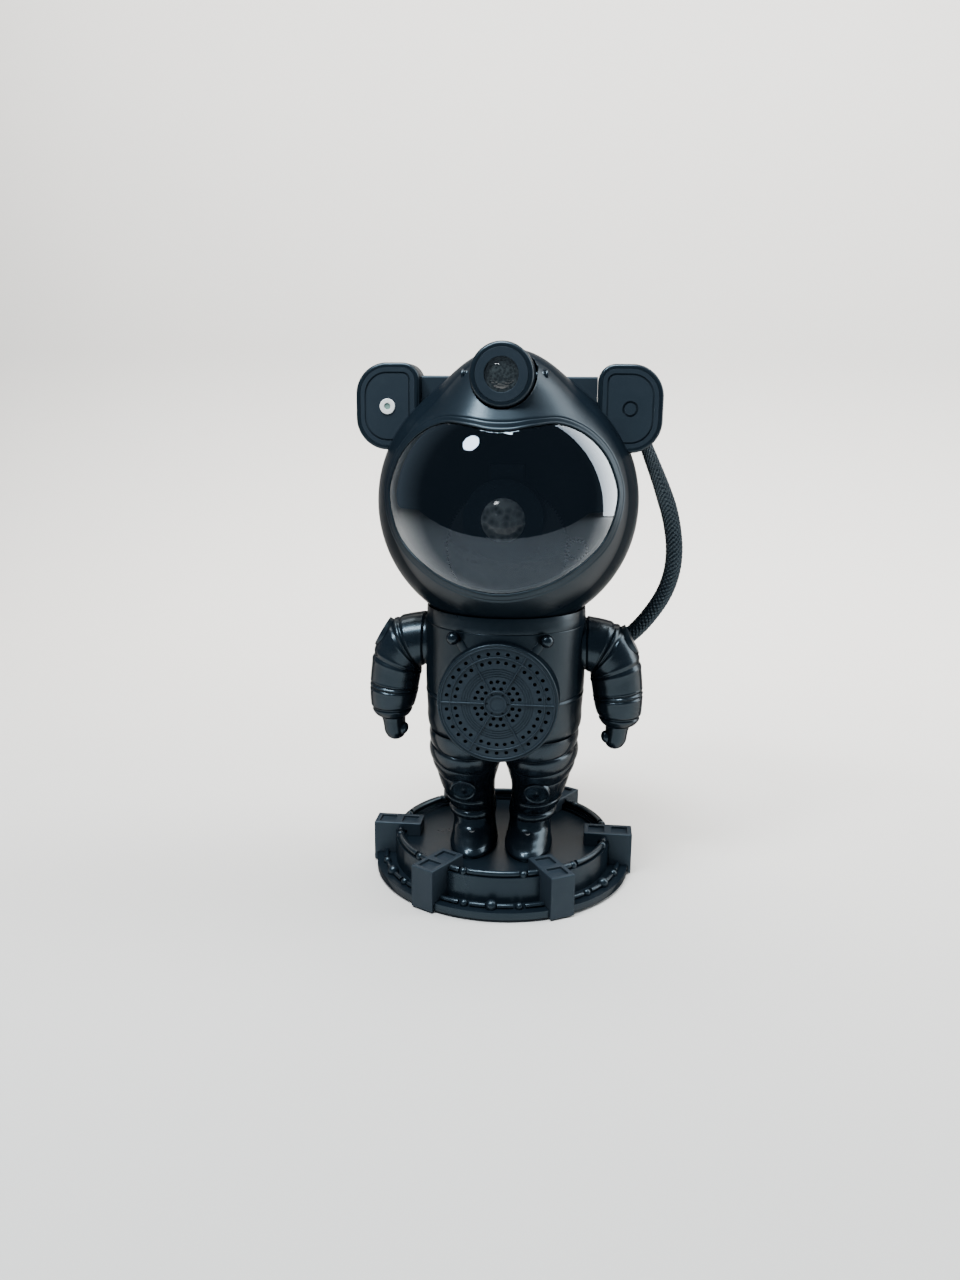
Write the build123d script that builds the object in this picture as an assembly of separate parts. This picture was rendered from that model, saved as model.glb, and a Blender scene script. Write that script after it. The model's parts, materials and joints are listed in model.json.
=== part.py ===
from build123d import *
import os
from math import asin, cos, degrees, pi, radians, sin, sqrt, tan

# Astronaut-shaped star and nebula projector on a landing-pad base.
# Millimetres. The origin is the centre of the foot pad on the table, +Z is up and the figure faces -Y.
# "left" is the -X side and "right" is the +X side, as seen by someone facing the figure.

# Clearances
SEAT_GAP = 0.1  # between pieces that are fixed to each other
SLIDE_GAP = 0.3  # between faces that move past each other
RUN_GAP = 0.05  # radial clearance of a shaft in its hole
FAR = 300.0  # reaches past the whole object

# Base
PAD_T = 1.2
PAD_IN = 3.15  # from the flange's edge
FLANGE_R = 57.15
FLANGE_T = 3.1
FLANGE_W = 8.65  # from the drum to the flange's edge
DRUM_H = 11.0
DRUM_WALL = 2.6
LIP_W = 3.7
LIP_STEP = 0.9
FLOOR_DROP = 2.3
FLOOR_T = 2.0
COVER_T = 2.6
BLOCK_COUNT = 6
BLOCK_W = 11.0
BLOCK_REACH = 7.8  # inward past the lip
BLOCK_PROUD = 1.35  # past the flange's edge
BLOCK_FOOT = 0.5
BLOCK_RISE = 3.7  # above the ledge
POCKET = 7.0
POCKET_DEPTH = 1.2
UPPER_PIPE_D = 2.6
LOWER_PIPE_D = 2.0
UPPER_BOLT_SPREAD = 15.5  # degrees each side of the middle of a sector
LOWER_BOLT_SPREAD = 12.5
SMALL_BOLT_D = 3.4
LARGE_BOLT_D = 4.8
BOLT_SHANK_D = 1.6
BOLT_SHANK_L = 1.5
BASE_SCREW_D = 3.0
BASE_SCREW_HEAD_D = 5.6
BASE_SCREW_HEAD_T = 1.6
BASE_SCREW_GRIP = 9.0  # into the boot
STANDOFF_WALL = 2.0
POCKET_SHARES = (0.26, 0.74)  # of the block's length
BOOT_SCREWS = [(12.3, -16.0), (12.3, 6.0)]

# Legs: sections bottom to top as centre x, centre y, half width, half depth
LEG_H = 51.5
LEG_SHARES = [0.00, 0.05, 0.12, 0.20, 0.28, 0.34, 0.44, 0.54, 0.66, 0.76, 0.88, 1.00]  # of the leg's height
LEG_SECTIONS = [
    (12.3, -6.3, 10.2, 20.6),
    (12.3, -6.2, 10.4, 20.8),
    (12.4, -4.6, 9.9, 18.0),
    (12.6, -1.8, 9.3, 13.4),
    (13.0, -0.6, 10.0, 13.0),
    (13.4, -0.2, 9.9, 13.2),
    (15.1, 0.0, 11.2, 15.6),
    (15.9, 0.0, 12.2, 17.6),
    (16.1, 0.0, 14.0, 21.0),
    (15.9, 0.0, 15.5, 24.0),
    (16.1, 0.0, 15.8, 26.4),
    (16.0, 0.0, 15.7, 27.6),
]
KNEE_DISC_D = 11.4
KNEE_DISC_X = 16.0
KNEE_DISC_Y = -18.4
KNEE_DISC_L = 6.0
KNEE_DISC_H = 28.4  # above the platform's floor

# Torso
TORSO_H = 50.5
HEM_R = 33.4
CHEST_R = 34.9
COLLAR_R = 34.7
TORSO_WALL = 2.2
TORSO_FLOOR_T = 2.0
POST_D = 8.0
POST_X = 23.5
POST_LOW = 7.5  # above the hem
POST_HIGH = 37.5
CASE_SCREW_D = 2.8
CASE_SCREW_HEAD_D = 5.2
CASE_SCREW_HEAD_T = 1.8
CASE_SCREW_GRIP = 10.0
CASE_SCREW_SEAT = 6.0  # from the split to the screw head

# Speaker
GRILLE_RISE = 22.5  # centre above the hem
GRILLE_D = 47.0
GRILLE_T = 3.0
GRILLE_FRONT = 38.0
GRILLE_BOSS_D = 50.0
GRILLE_BOSS_STEP = 0.5
SPEAKER_FRONT_BORE_D = 44.0
SPEAKER_FRONT_BORE_L = 4.0
SPEAKER_BORE_D = 37.0
SPEAKER_SEAT = 22.0
SPEAKER_FLANGE_D = 40.6
FRAME_LIP_T = 1.4
CONE_D = 35.6
CONE_GAP = 0.4
CONE_DEPTH = 6.6
COIL_R = 5.4
COIL_T = 0.7
COIL_GAP = 0.6
COIL_END = 11.0
CONE_LIFT = 0.2  # of the surround above the frame's seat
CONE_T = 0.7
SURROUND_W = 1.6
CAP_DEPTH = 5.0
POT_D = 22.0
POT_WALL = 1.6
POT_BASE_T = 2.0
POT_FRONT = 8.2
POT_BACK = 14.4
GRILLE_SECTORS = 6
GRILLE_HOLE_D = 1.6
GRILLE_HOLE_ROWS = [6.5, 9.3, 17.4, 21.0]
GRILLE_HOLE_COUNTS = [2, 3, 5, 5]  # in each sector
GRILLE_HOLE_ANGLES = [26.0, 16.5, 10.9, 10.9]  # between neighbours
SPOKE_W = 0.7
SPOKE_DEPTH = 0.5
GRILLE_HUB_D = 7.6
HUB_RING_W = 0.8
HUB_RISE = 0.6
HUB_RING_DEPTH = 0.3
FINE_RINGS = [11.6, 12.6, 13.6, 14.6]
FINE_RING_W = 0.45
STUD_X = 18.0
STUD_DROP = 2.6  # below the collar seam
STUD_D = 3.8
STUD_SOCKET_D = 5.0

# Neck
COLLAR_H = 6.55
COLLAR_TOP_R = 34.2
COLLAR_WALL = 2.6
SKIRT_H = 3.5
SKIRT_T = 1.8
DISH_WALL = 2.0
CUP_R = 24.0
CUP_WALL = 2.7
JOURNAL_D = 26.0
SLEEVE_WALL = 2.4
SLEEVE_DROP = 13.0  # collar seam to the foot of the sleeve
MAGNET_D = 20.0
MAGNET_T = 4.5
PLATE_D = 24.0
PLATE_T = 2.0
PLATE_LIFT = 3.0
PLATE_SEAT_W = 1.0  # round the plate

# Arms: sections as centre x from the shoulder plane, centre z from the shoulder, half width, half depth
SHOULDER_X = 36.2
SHOULDER_DROP = 10.2  # below the collar seam
SHOULDER_BOSS_D = 19.0
SHOULDER_PIN_D = 6.0
PIN_HEAD_D = 10.0
PIN_HEAD_T = 2.0
PIN_REACH = 9.0  # into the arm
ARM_SECTIONS = [
    (0.0, 0.0, 12.1, 12.3),
    (6.3, -1.6, 12.0, 12.2),
    (10.4, -6.2, 11.0, 11.6),
    (12.2, -12.6, 10.8, 11.2),
    (13.2, -19.8, 10.5, 10.8),
    (13.9, -27.2, 9.7, 10.2),
    (14.4, -33.2, 8.6, 9.2),
    (14.4, -36.6, 6.3, 6.9),
    (13.4, -40.6, 5.8, 6.4),
    (12.8, -44.4, 4.6, 5.4),
    (12.6, -46.8, 1.8, 2.4),
]
ARM_ANGLES = [0, 25, 52, 72, 83, 88, 90, 90, 90, 90, 90]  # slope of the arm at each section
THUMB_D = 5.4
THUMB = (8.0, -3.2, -41.4)
PATCH_D = 14.0
PATCH_T = 3.8
PATCH_SINK = 2.7
PATCH_X = 17.6
PATCH_Z = 2.2
PATCH_ANGLE = 29.0

# Backpack
PACK_W = 54.0
PACK_H = 44.0
PACK_BACK = 50.0
PACK_FRONT = 20.0
PACK_LIFT = 4.0  # above the hem
PACK_WALL = 2.0
PACK_ROUND = 6.0
BUTTON_D = 9.0
BUTTON_X = 9.5
BUTTON_DROP = 12.0
BUTTON_PROUD = 1.4
BUTTON_TRAVEL = 1.0
BUTTON_LIP = 1.1
BUTTON_LIP_T = 1.1
BOARD_W = 40.0
BOARD_H = 36.0
BOARD_T = 1.6
BOARD_SET = 6.4  # from the backpack's inner wall to the board
RIB_T = 2.0
RIB_IN = 3.0  # from the board's edge to the middle of the rib
RIB_RISE = 6.0  # above the USB socket
SWITCH_D = 5.0
BUTTON_EDGE_R = 0.7
USB_W = 9.4
USB_H = 3.6
USB_L = 8.0
USB_SHELL = 0.5
USB_RISE = 8.0
USB_BACK_T = 1.5
USB_TONGUE = (6.4, 0.7)
USB_TONGUE_SINK = 1.2
USB_ROOM = 0.5

# Helmet
HELMET_R = 55.0
HELMET_WALL = 2.7
CREST_R = 24.7
CREST_Y = -14.0
CREST_PROUD = 7.6  # above the top of the helmet's ball
CREST_BLEND = 9.0
SPLIT_Y = 8.0
VISOR_T = 1.8
VISOR_SINK = 0.8
VISOR_EDGE_GAP = 0.35
VISOR_LEDGE_T = 2.0
VISOR_LEDGE_W = 3.0
VISOR_DRAWN_R = 55.0  # radius of the ball that the outline below is drawn on
# right half of the visor opening, bottom to top: x, height from the helmet's centre
VISOR_OUTLINE = [
    (0.0, -33.0),
    (14.0, -30.6),
    (27.7, -24.3),
    (40.9, -12.3),
    (46.2, 4.0),
    (43.7, 15.8),
    (38.7, 24.2),
    (31.2, 30.4),
    (22.2, 33.2),
    (12.5, 31.9),
    (4.9, 30.2),
    (0.0, 29.9),
]
HELMET_SCREW_IN = 6.5  # from the helmet's skin
HELMET_SCREW_ANGLE = 37.5
HELMET_BOSS_D = 8.0
HELMET_BOSS_L = 12.0

# Ears
EAR_PROUD = 7.5  # past the side of the helmet's ball
EAR_W = 26.3
EAR_H = 35.0
EAR_DROP = 15.6  # centre below the top of the helmet's ball
EAR_CORNER_R = 7.0  # on the inner side
EAR_CROWN_FLAT = 0.2  # from the middle to the round outer side
EAR_FRONT = -12.0
EAR_DEPTH = 15.0
EAR_RIM = 1.8
EAR_WALL = 2.4
EAR_FACE_T = 2.0
EAR_GROOVE_IN = 3.7
EAR_GROOVE_W = 0.7
EAR_GROOVE_DEPTH = 0.5
EAR_EDGE_R = 1.2
RING_D = 6.3
RING_BORE_D = 2.6
RING_PROUD = 0.4
DIMPLE_D = 6.3
DIMPLE_DEPTH = 0.8
DIMPLE_RIM = 0.8
DIMPLE_DISC_T = 0.6
BRACE_H = 14.0
BRACE_T = 10.0
BRACE_DROP = 3.0  # top below the top of the helmet's ball
BRACE_FRONT = -6.0
BRACE_EDGE_R = 1.0

# Star barrel
STAR_DROP = 11.1  # axis below the top of the crest
STAR_D = 24.4
STAR_PROUD = 4.3  # in front of the crest
STAR_WALL = 2.0
STAR_PIVOT_SET = 16.5  # behind the barrel's front
STAR_PIVOT_D = 3.2
STAR_PIVOT_L = 2.2
STAR_SLOT_GAP = 0.6
STAR_CHEEK_T = 2.4
STAR_CHEEK_Y = (-6.0, 5.0)  # from the pivot
STAR_CHEEK_Z = (-14.0, 8.0)
STAR_CHEEK_SKIN = 0.6
STAR_EDGE_R = 1.4
BEZEL_T = 3.0
STAR_LENS_D = 13.0
STAR_LENS_T = 1.6
STAR_LENS_SEAT = 1.0
STAR_LENS_CROWN_R = 14.0
STAR_LENS_RISE = 1.0
LASER_D = 6.0
LASER_L = 9.0
LASER_COLLAR_W = 1.5
LASER_COLLAR_T = 2.0
LASER_COLLAR_SET = 1.0
LASER_PLATE_T = 2.4
LASER_BACK = 13.0  # from the barrel's front to the plate

# Nebula projector
LENS_DROP = 5.0  # optical axis below the helmet's centre
LENS_D = 18.0
LENS_T = 3.0
LENS_CROWN = 3.2
BARREL_D = 33.0
BARREL_WALL = 2.0
BARREL_FRONT = -24.0
BARREL_BACK = -4.0
BARREL_LUG_W = 14.0
BARREL_LUG_T = 5.0
BARREL_LUG_L = 6.0
BARREL_LUG_SINK = 1.2
FRAME_Y = 4.0
FRAME_T = 2.0
FRAME_GAP = 0.5
DISC_IN = 29.0  # from the helmet's skin to the pitch circle
DISC_CLEAR = 1.85  # above the steel plate
TOOTH_RISE = 0.9  # modules outside the pitch circle
TOOTH_DEPTH = 1.2  # modules inside it
TOOTH_TIP_SHARE = 0.12  # half width, in pitches
TOOTH_ROOT_SHARE = 0.27
DISC_TEETH = 104
PINION_TEETH = 16
DISC_T = 1.8
DISC_FRONT = -2.5
AXLE_D = 3.0
AXLE_HEAD_D = 5.2
AXLE_HEAD_T = 0.6
AXLE_COLLAR_D = 6.0
MOTOR_D = 15.0
MOTOR_L = 12.0
MOTOR_SHAFT_D = 2.0
MOTOR_SHAFT_IN = 6.0
LED_BOARD = 18.0
LED_BOARD_T = 1.6
LED_BOARD_SET = 1.8  # from the frame to the board's front
LED_D = 4.5
LED_H = 1.6
LED_RING_R = 4.2
LED_ANGLES = (90, 210, 330)
SINK_BLOCK = 19.0
SINK_FLANGE = 28.0
SINK_FLANGE_T = 2.0
SINK_FIN_L = 12.0
SINK_FIN_T = 1.6
SINK_FIN_COUNT = 6

# Cable between head and backpack
HOSE_D = 7.0
UPPER_EXIT_X = 20.2  # from the ear's inner side
UPPER_EXIT_Y = 5.0  # behind the ear's back
UPPER_EXIT_DROP = 12.9  # below the ear's centre
UPPER_EXIT_RUN = (4.2, 3.2, -9.2)
LOWER_EXIT_Y = 34.5
LOWER_EXIT_RISE = 28.5  # above the hem
LOWER_EXIT_RUN = (12.8, -0.1, 1.4)
GLAND_D = 9.6
GLAND_H = 11.0
GLAND_TAPER = (1.2, -0.6)  # added to the radius at the root and at the mouth
LOWER_GLAND_L = 4.0
HOSE_ROUTE = [
    (56.4, 8.0, 191.5),
    (60.6, 11.2, 182.3),
    (65.8, 15.6, 170.5),
    (70.8, 20.4, 157.0),
    (73.4, 23.4, 140.0),
    (70.6, 26.6, 124.5),
    (62.6, 30.0, 110.5),
    (54.0, 32.6, 100.6),
    (43.8, 34.4, 94.4),
    (31.0, 34.5, 93.0),
]

# Heights and radii that follow from the sizes above
pad_top = PAD_T
flange_top = pad_top + FLANGE_T
ledge_z = flange_top + DRUM_H
floor_z = ledge_z - FLOOR_DROP
drum_r = FLANGE_R - FLANGE_W
lip_r = drum_r - LIP_W
cover_r = drum_r - DRUM_WALL - SEAT_GAP
block_inner_r = lip_r - BLOCK_REACH
block_outer_r = FLANGE_R + BLOCK_PROUD
upper_pipe_r = (lip_r + drum_r) / 2
lower_pipe_r = (drum_r + FLANGE_R) / 2
hem_z = floor_z + LEG_H
seam_z = hem_z + TORSO_H
grille_z = hem_z + GRILLE_RISE
shoulder_z = seam_z - SHOULDER_DROP
collar_top = seam_z + COLLAR_H
seat_r = HELMET_R + SLIDE_GAP
head_z = collar_top + sqrt(seat_r**2 - COLLAR_TOP_R**2)
helmet_inner_r = HELMET_R - HELMET_WALL
crest_z = head_z + HELMET_R + CREST_PROUD - CREST_R
star_z = head_z + HELMET_R + CREST_PROUD - STAR_DROP
star_front = CREST_Y - CREST_R - STAR_PROUD
star_pivot_y = star_front + STAR_PIVOT_SET
ear_z = head_z + HELMET_R - EAR_DROP
ear_inner_x = HELMET_R + EAR_PROUD - EAR_W
helmet_screw_r = HELMET_R - HELMET_SCREW_IN
lens_z = head_z - LENS_DROP
plate_top = head_z - helmet_inner_r + PLATE_LIFT + PLATE_T
disc_pitch_r = HELMET_R - DISC_IN
gear_module = 2 * disc_pitch_r / DISC_TEETH
pinion_pitch_r = gear_module * PINION_TEETH / 2
disc_z = plate_top + DISC_CLEAR + disc_pitch_r + TOOTH_RISE * gear_module
pinion_x = disc_pitch_r + pinion_pitch_r
cup_outer_r = seat_r + CUP_WALL
dish_inner_r = cup_outer_r + SLIDE_GAP
sleeve_foot = seam_z - SLEEVE_DROP
pack_z = hem_z + PACK_LIFT + PACK_H / 2
sector = 360 / BLOCK_COUNT


def facing_front(x, y, z):
    """Plane that looks out of the figure's front: local x is +X and local y is +Z."""
    return Plane((x, y, z), x_dir=(1, 0, 0), z_dir=(0, -1, 0))


def facing_back(x, y, z):
    return Plane((x, y, z), x_dir=(-1, 0, 0), z_dir=(0, 1, 0))


def lathe(outline):
    """Solid of revolution about Z of (radius, height) points."""
    face = make_face(Polyline([(r, 0, h) for r, h in outline], close=True))
    return revolve(face, Axis.Z, 360)


def rod(diameter, length):
    """Cylinder that stands on its local origin."""
    return Cylinder(diameter / 2, length, align=(Align.CENTER, Align.CENTER, Align.MIN))


def span_box(x, y, z):
    """Box between the two values given for each axis."""
    size = [b - a for a, b in (x, y, z)]
    return Pos(*[(a + b) / 2 for a, b in (x, y, z)]) * Box(*size)


def region(x=(-FAR, FAR), y=(-FAR, FAR), z=(-FAR, FAR)):
    """Box that is open-ended along the axes not given."""
    return span_box(x, y, z)


def ball(radius):
    """Ball about the helmet's centre."""
    return Pos(0, 0, head_z) * Sphere(radius)


def oval(half_x, half_y):
    """Ellipse that is longer along local Y, so that every section of a loft starts at the same side."""
    return Rot(0, 0, 90) * Ellipse(half_y, half_x)


def mirrored(shape):
    return mirror(shape, about=Plane.YZ)


def around(shape, angles):
    """Copies of a shape turned about Z."""
    return Compound([Rot(0, 0, angle) * shape for angle in angles])


def block_angles():
    return [sector * i for i in range(BLOCK_COUNT)]


def sector_angles():
    return [sector * (i + 0.5) for i in range(BLOCK_COUNT)]


# ---------------------------------------------------------------- base


def boot_screw_places():
    return [(side * x, y) for side in (-1, 1) for x, y in BOOT_SCREWS]


def base_screw_holes():
    hole = rod(BASE_SCREW_D + 2 * RUN_GAP, floor_z + BASE_SCREW_GRIP + 1)
    return Compound([Pos(x, y, 0) * hole for x, y in boot_screw_places()])


def base_platform():
    drum_inner = drum_r - DRUM_WALL
    body = lathe(
        [
            (drum_inner, pad_top),
            (FLANGE_R, pad_top),
            (FLANGE_R, flange_top),
            (drum_r, flange_top),
            (drum_r, ledge_z),
            (lip_r, ledge_z),
            (lip_r, ledge_z - FLOOR_DROP / 2),
            (lip_r - LIP_STEP, ledge_z - FLOOR_DROP / 2),
            (lip_r - LIP_STEP, floor_z),
            (0, floor_z),
            (0, floor_z - FLOOR_T),
            (drum_inner, floor_z - FLOOR_T),
        ]
    )
    shank = rod(BOLT_SHANK_D + 2 * RUN_GAP, BOLT_SHANK_L + SEAT_GAP)
    upper = Pos(0, 0, ledge_z - BOLT_SHANK_L - SEAT_GAP) * upper_bolt_pattern(shank)
    lower = Pos(0, 0, flange_top - BOLT_SHANK_L - SEAT_GAP) * Compound(
        [lower_bolt_pattern(shank, small) for small in (True, False)]
    )
    return body - upper - lower - base_screw_holes()


def platform_envelope():
    """Space of the platform, its inside included, that the clamp blocks straddle."""
    lip = lip_r - LIP_STEP - SEAT_GAP
    return lathe(
        [
            (0, -1),
            (FLANGE_R + SEAT_GAP, -1),
            (FLANGE_R + SEAT_GAP, flange_top),
            (drum_r + SEAT_GAP, flange_top),
            (drum_r + SEAT_GAP, ledge_z),
            (lip, ledge_z),
            (lip, floor_z),
            (0, floor_z),
        ]
    )


def base_clamp_blocks():
    top = ledge_z + BLOCK_RISE
    block = span_box((block_inner_r, block_outer_r), (-BLOCK_W / 2, BLOCK_W / 2), (BLOCK_FOOT, top))
    block -= platform_envelope()
    length = block_outer_r - block_inner_r
    for share in POCKET_SHARES:
        middle = block_inner_r + length * share
        block -= Pos(middle, 0, top) * Box(POCKET, POCKET, 2 * POCKET_DEPTH)
    return around(block, block_angles())


def pipe_arc(ring_r, pipe_d, base_z, start, stop):
    """Stretch of pipe bent round the platform that lies on a level face."""
    section = Plane.XZ * Pos(ring_r, base_z + pipe_d / 2) * Circle(pipe_d / 2)
    return Rot(0, 0, start) * revolve(section, Axis.Z, stop - start)


def ring_pipes(ring_r, pipe_d, base_z, bolt_angles, bolt_d):
    """Pipes of one ring: they run from block to block and stop at each bolt."""
    inner_r = ring_r - pipe_d / 2
    end = sector / 2 - degrees(asin((BLOCK_W / 2 + SEAT_GAP) / inner_r))
    half_bolt = degrees(asin((bolt_d / 2 + SEAT_GAP) / inner_r))
    stops = [-end]
    for angle in bolt_angles:
        stops += [angle - half_bolt, angle + half_bolt]
    stops.append(end)
    arcs = []
    for middle in sector_angles():
        for first, last in zip(stops[0::2], stops[1::2]):
            arcs.append(pipe_arc(ring_r, pipe_d, base_z, middle + first, middle + last))
    return Compound(arcs)


def base_pipe_upper():
    bolts = [-UPPER_BOLT_SPREAD, UPPER_BOLT_SPREAD]
    return ring_pipes(upper_pipe_r, UPPER_PIPE_D, ledge_z, bolts, SMALL_BOLT_D)


def base_pipe_lower():
    bolts = [-LOWER_BOLT_SPREAD, 0, LOWER_BOLT_SPREAD]
    return ring_pipes(lower_pipe_r, LOWER_PIPE_D, flange_top, bolts, LARGE_BOLT_D)


def upper_bolt_pattern(shape):
    angles = [m + side * UPPER_BOLT_SPREAD for m in sector_angles() for side in (-1, 1)]
    return around(Pos(upper_pipe_r, 0, 0) * shape, angles)


def lower_bolt_pattern(shape, small):
    offsets = (-LOWER_BOLT_SPREAD, LOWER_BOLT_SPREAD) if small else (0,)
    angles = [m + offset for m in sector_angles() for offset in offsets]
    return around(Pos(lower_pipe_r, 0, 0) * shape, angles)


def dome_bolt(diameter):
    """Domed bolt whose seat is its local origin, with its shank below."""
    radius = diameter / 2
    head = Pos(0, 0, radius * 0.5) * Sphere(radius) & rod(2 * diameter, diameter)
    foot = rod(diameter, radius * 0.5)
    return head + foot + Pos(0, 0, -BOLT_SHANK_L) * rod(BOLT_SHANK_D, BOLT_SHANK_L + radius)


def base_bolts_small():
    bolt = dome_bolt(SMALL_BOLT_D)
    upper = Pos(0, 0, ledge_z) * upper_bolt_pattern(bolt)
    lower = Pos(0, 0, flange_top) * lower_bolt_pattern(bolt, True)
    return Compound([upper, lower])


def base_bolts_large():
    return Pos(0, 0, flange_top) * lower_bolt_pattern(dome_bolt(LARGE_BOLT_D), False)


def base_bottom_cover():
    cover = Pos(0, 0, pad_top) * rod(2 * cover_r, COVER_T)
    standoff = rod(BASE_SCREW_D + 2 * STANDOFF_WALL, floor_z - FLOOR_T - pad_top)
    recess = rod(BASE_SCREW_HEAD_D + 2 * SEAT_GAP, BASE_SCREW_HEAD_T + SEAT_GAP)
    for x, y in boot_screw_places():
        cover += Pos(x, y, pad_top) * standoff
        cover -= Pos(x, y, pad_top) * recess
    return cover - base_screw_holes()


def base_foot_pad():
    return rod(2 * (FLANGE_R - PAD_IN), PAD_T)


def base_screws():
    shank = rod(BASE_SCREW_D, floor_z + BASE_SCREW_GRIP - pad_top - SEAT_GAP)
    screw = rod(BASE_SCREW_HEAD_D, BASE_SCREW_HEAD_T) + shank
    return Compound([Pos(x, y, pad_top + SEAT_GAP) * screw for x, y in boot_screw_places()])


# ---------------------------------------------------------------- legs


def right_leg():
    sections = [
        Pos(x, y, floor_z + LEG_H * share) * oval(half_w, half_d)
        for share, (x, y, half_w, half_d) in zip(LEG_SHARES, LEG_SECTIONS)
    ]
    leg = loft(sections) - facing_front(0, 0, grille_z) * rod(GRILLE_BOSS_D + 2 * SEAT_GAP, FAR)
    disc_back = KNEE_DISC_Y + KNEE_DISC_L
    leg += facing_front(KNEE_DISC_X, disc_back, floor_z + KNEE_DISC_H) * rod(KNEE_DISC_D, KNEE_DISC_L)
    return leg - base_screw_holes()


# ---------------------------------------------------------------- torso


def torso_form(inset):
    """Turned form of the torso, drawn in by inset, without its floor."""
    side = Spline(
        (HEM_R - inset, 0, hem_z),
        (CHEST_R - inset, 0, hem_z + TORSO_H * 0.55),
        (COLLAR_R - inset, 0, seam_z),
    )
    lines = Polyline(
        (COLLAR_R - inset, 0, seam_z),
        (0, 0, seam_z),
        (0, 0, hem_z),
        (HEM_R - inset, 0, hem_z),
    )
    return revolve(make_face(side + lines), Axis.Z, 360)


def torso_shell():
    hollow = torso_form(TORSO_WALL) & region(z=(hem_z + TORSO_FLOOR_T, FAR))
    return torso_form(0) - hollow


def shoulder_bosses():
    reach = SHOULDER_X - SLIDE_GAP
    boss = Plane((0, 0, shoulder_z), z_dir=(1, 0, 0)) * rod(SHOULDER_BOSS_D, reach)
    return (boss + mirrored(boss)) - torso_form(TORSO_WALL)


def shoulder_holes():
    bore = Plane((0, 0, shoulder_z), z_dir=(1, 0, 0)) * rod(SHOULDER_PIN_D + 2 * RUN_GAP, 2 * SHOULDER_X)
    return bore + mirrored(bore)


def post_places():
    return [(side * POST_X, hem_z + lift) for side in (-1, 1) for lift in (POST_LOW, POST_HIGH)]


def case_screw_cut():
    """Screw hole, with its head's counterbore, about local Z; local z = 0 is the split."""
    hole = Pos(0, 0, -CASE_SCREW_GRIP - 1) * rod(CASE_SCREW_D + 2 * RUN_GAP, FAR)
    head = Pos(0, 0, CASE_SCREW_SEAT) * rod(CASE_SCREW_HEAD_D + 2 * SEAT_GAP, FAR)
    return hole + head


def case_screw():
    """Screw whose head faces local +Z."""
    shank = Pos(0, 0, -CASE_SCREW_GRIP) * rod(CASE_SCREW_D, CASE_SCREW_GRIP + CASE_SCREW_SEAT)
    return shank + Pos(0, 0, CASE_SCREW_SEAT) * rod(CASE_SCREW_HEAD_D, CASE_SCREW_HEAD_T)


def torso_body():
    """Torso with its posts and bosses, before it is split into two shells."""
    body = torso_shell() + shoulder_bosses()
    for x, z in post_places():
        post = facing_front(x, FAR, z) * rod(POST_D, 2 * FAR)
        body += post & torso_form(0)
    speaker_tube = facing_front(0, -SPEAKER_SEAT, grille_z) * rod(
        GRILLE_BOSS_D, GRILLE_FRONT - GRILLE_BOSS_STEP - SPEAKER_SEAT
    )
    body += speaker_tube
    body -= facing_front(0, 0, grille_z) * rod(SPEAKER_BORE_D, FAR)
    plate_seat = GRILLE_FRONT - GRILLE_T
    cavity = plate_seat - SPEAKER_FRONT_BORE_L
    body -= facing_front(0, -cavity, grille_z) * rod(SPEAKER_FRONT_BORE_D, FAR)
    body -= facing_front(0, -plate_seat, grille_z) * rod(GRILLE_D + 2 * SEAT_GAP, FAR)
    body -= neck_room()
    for x, z in post_places():
        body -= facing_back(x, 0, z) * case_screw_cut()
    for side in (-1, 1):
        body -= stud_place(side) * (Pos(0, 0, -TORSO_WALL / 2) * rod(STUD_SOCKET_D, TORSO_WALL))
        shank_hole = rod(BOLT_SHANK_D + 2 * RUN_GAP, 3 * TORSO_WALL)
        body -= stud_place(side) * (Pos(0, 0, -2 * TORSO_WALL) * shank_hole)
    return body - shoulder_holes()


def neck_room():
    """Space inside the torso that the neck collar's skirt, dish and sleeve take."""
    skirt = Pos(0, 0, seam_z - SKIRT_H - SEAT_GAP) * rod(2 * (COLLAR_R - TORSO_WALL), 2 * SKIRT_H)
    dish = ball(dish_inner_r + DISH_WALL + SEAT_GAP) & rod(2 * (COLLAR_R - TORSO_WALL), seam_z + 1)
    sleeve = Pos(0, 0, sleeve_foot - SEAT_GAP) * rod(JOURNAL_D + 2 * SLEEVE_WALL + 1, SLEEVE_DROP)
    return skirt + dish + sleeve


def torso_halves():
    body = torso_body()
    front = body & region(y=(-FAR, 0), z=(0, seam_z))
    rear = body & region(y=(0, FAR), z=(0, seam_z))
    return front, rear


def torso_screws():
    return Compound([facing_back(x, 0, z) * case_screw() for x, z in post_places()])


def stud_place(side):
    """Plane on the chest's surface at a strap stud, looking outward."""
    depth = sqrt(COLLAR_R**2 - STUD_X**2)
    origin = (side * STUD_X, -depth, seam_z - STUD_DROP)
    return Plane(origin, z_dir=(side * STUD_X, -depth, 0))


def chest_studs():
    radius = STUD_D / 2
    seat = -TORSO_WALL / 2
    stud = Pos(0, 0, seat + radius * 0.9) * Sphere(radius) & Pos(0, 0, seat) * rod(2 * STUD_D, 2 * STUD_D)
    stud += Pos(0, 0, seat - 1) * rod(BOLT_SHANK_D, radius + 1)
    return Compound([stud_place(side) * stud for side in (-1, 1)])


# ---------------------------------------------------------------- speaker


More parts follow.
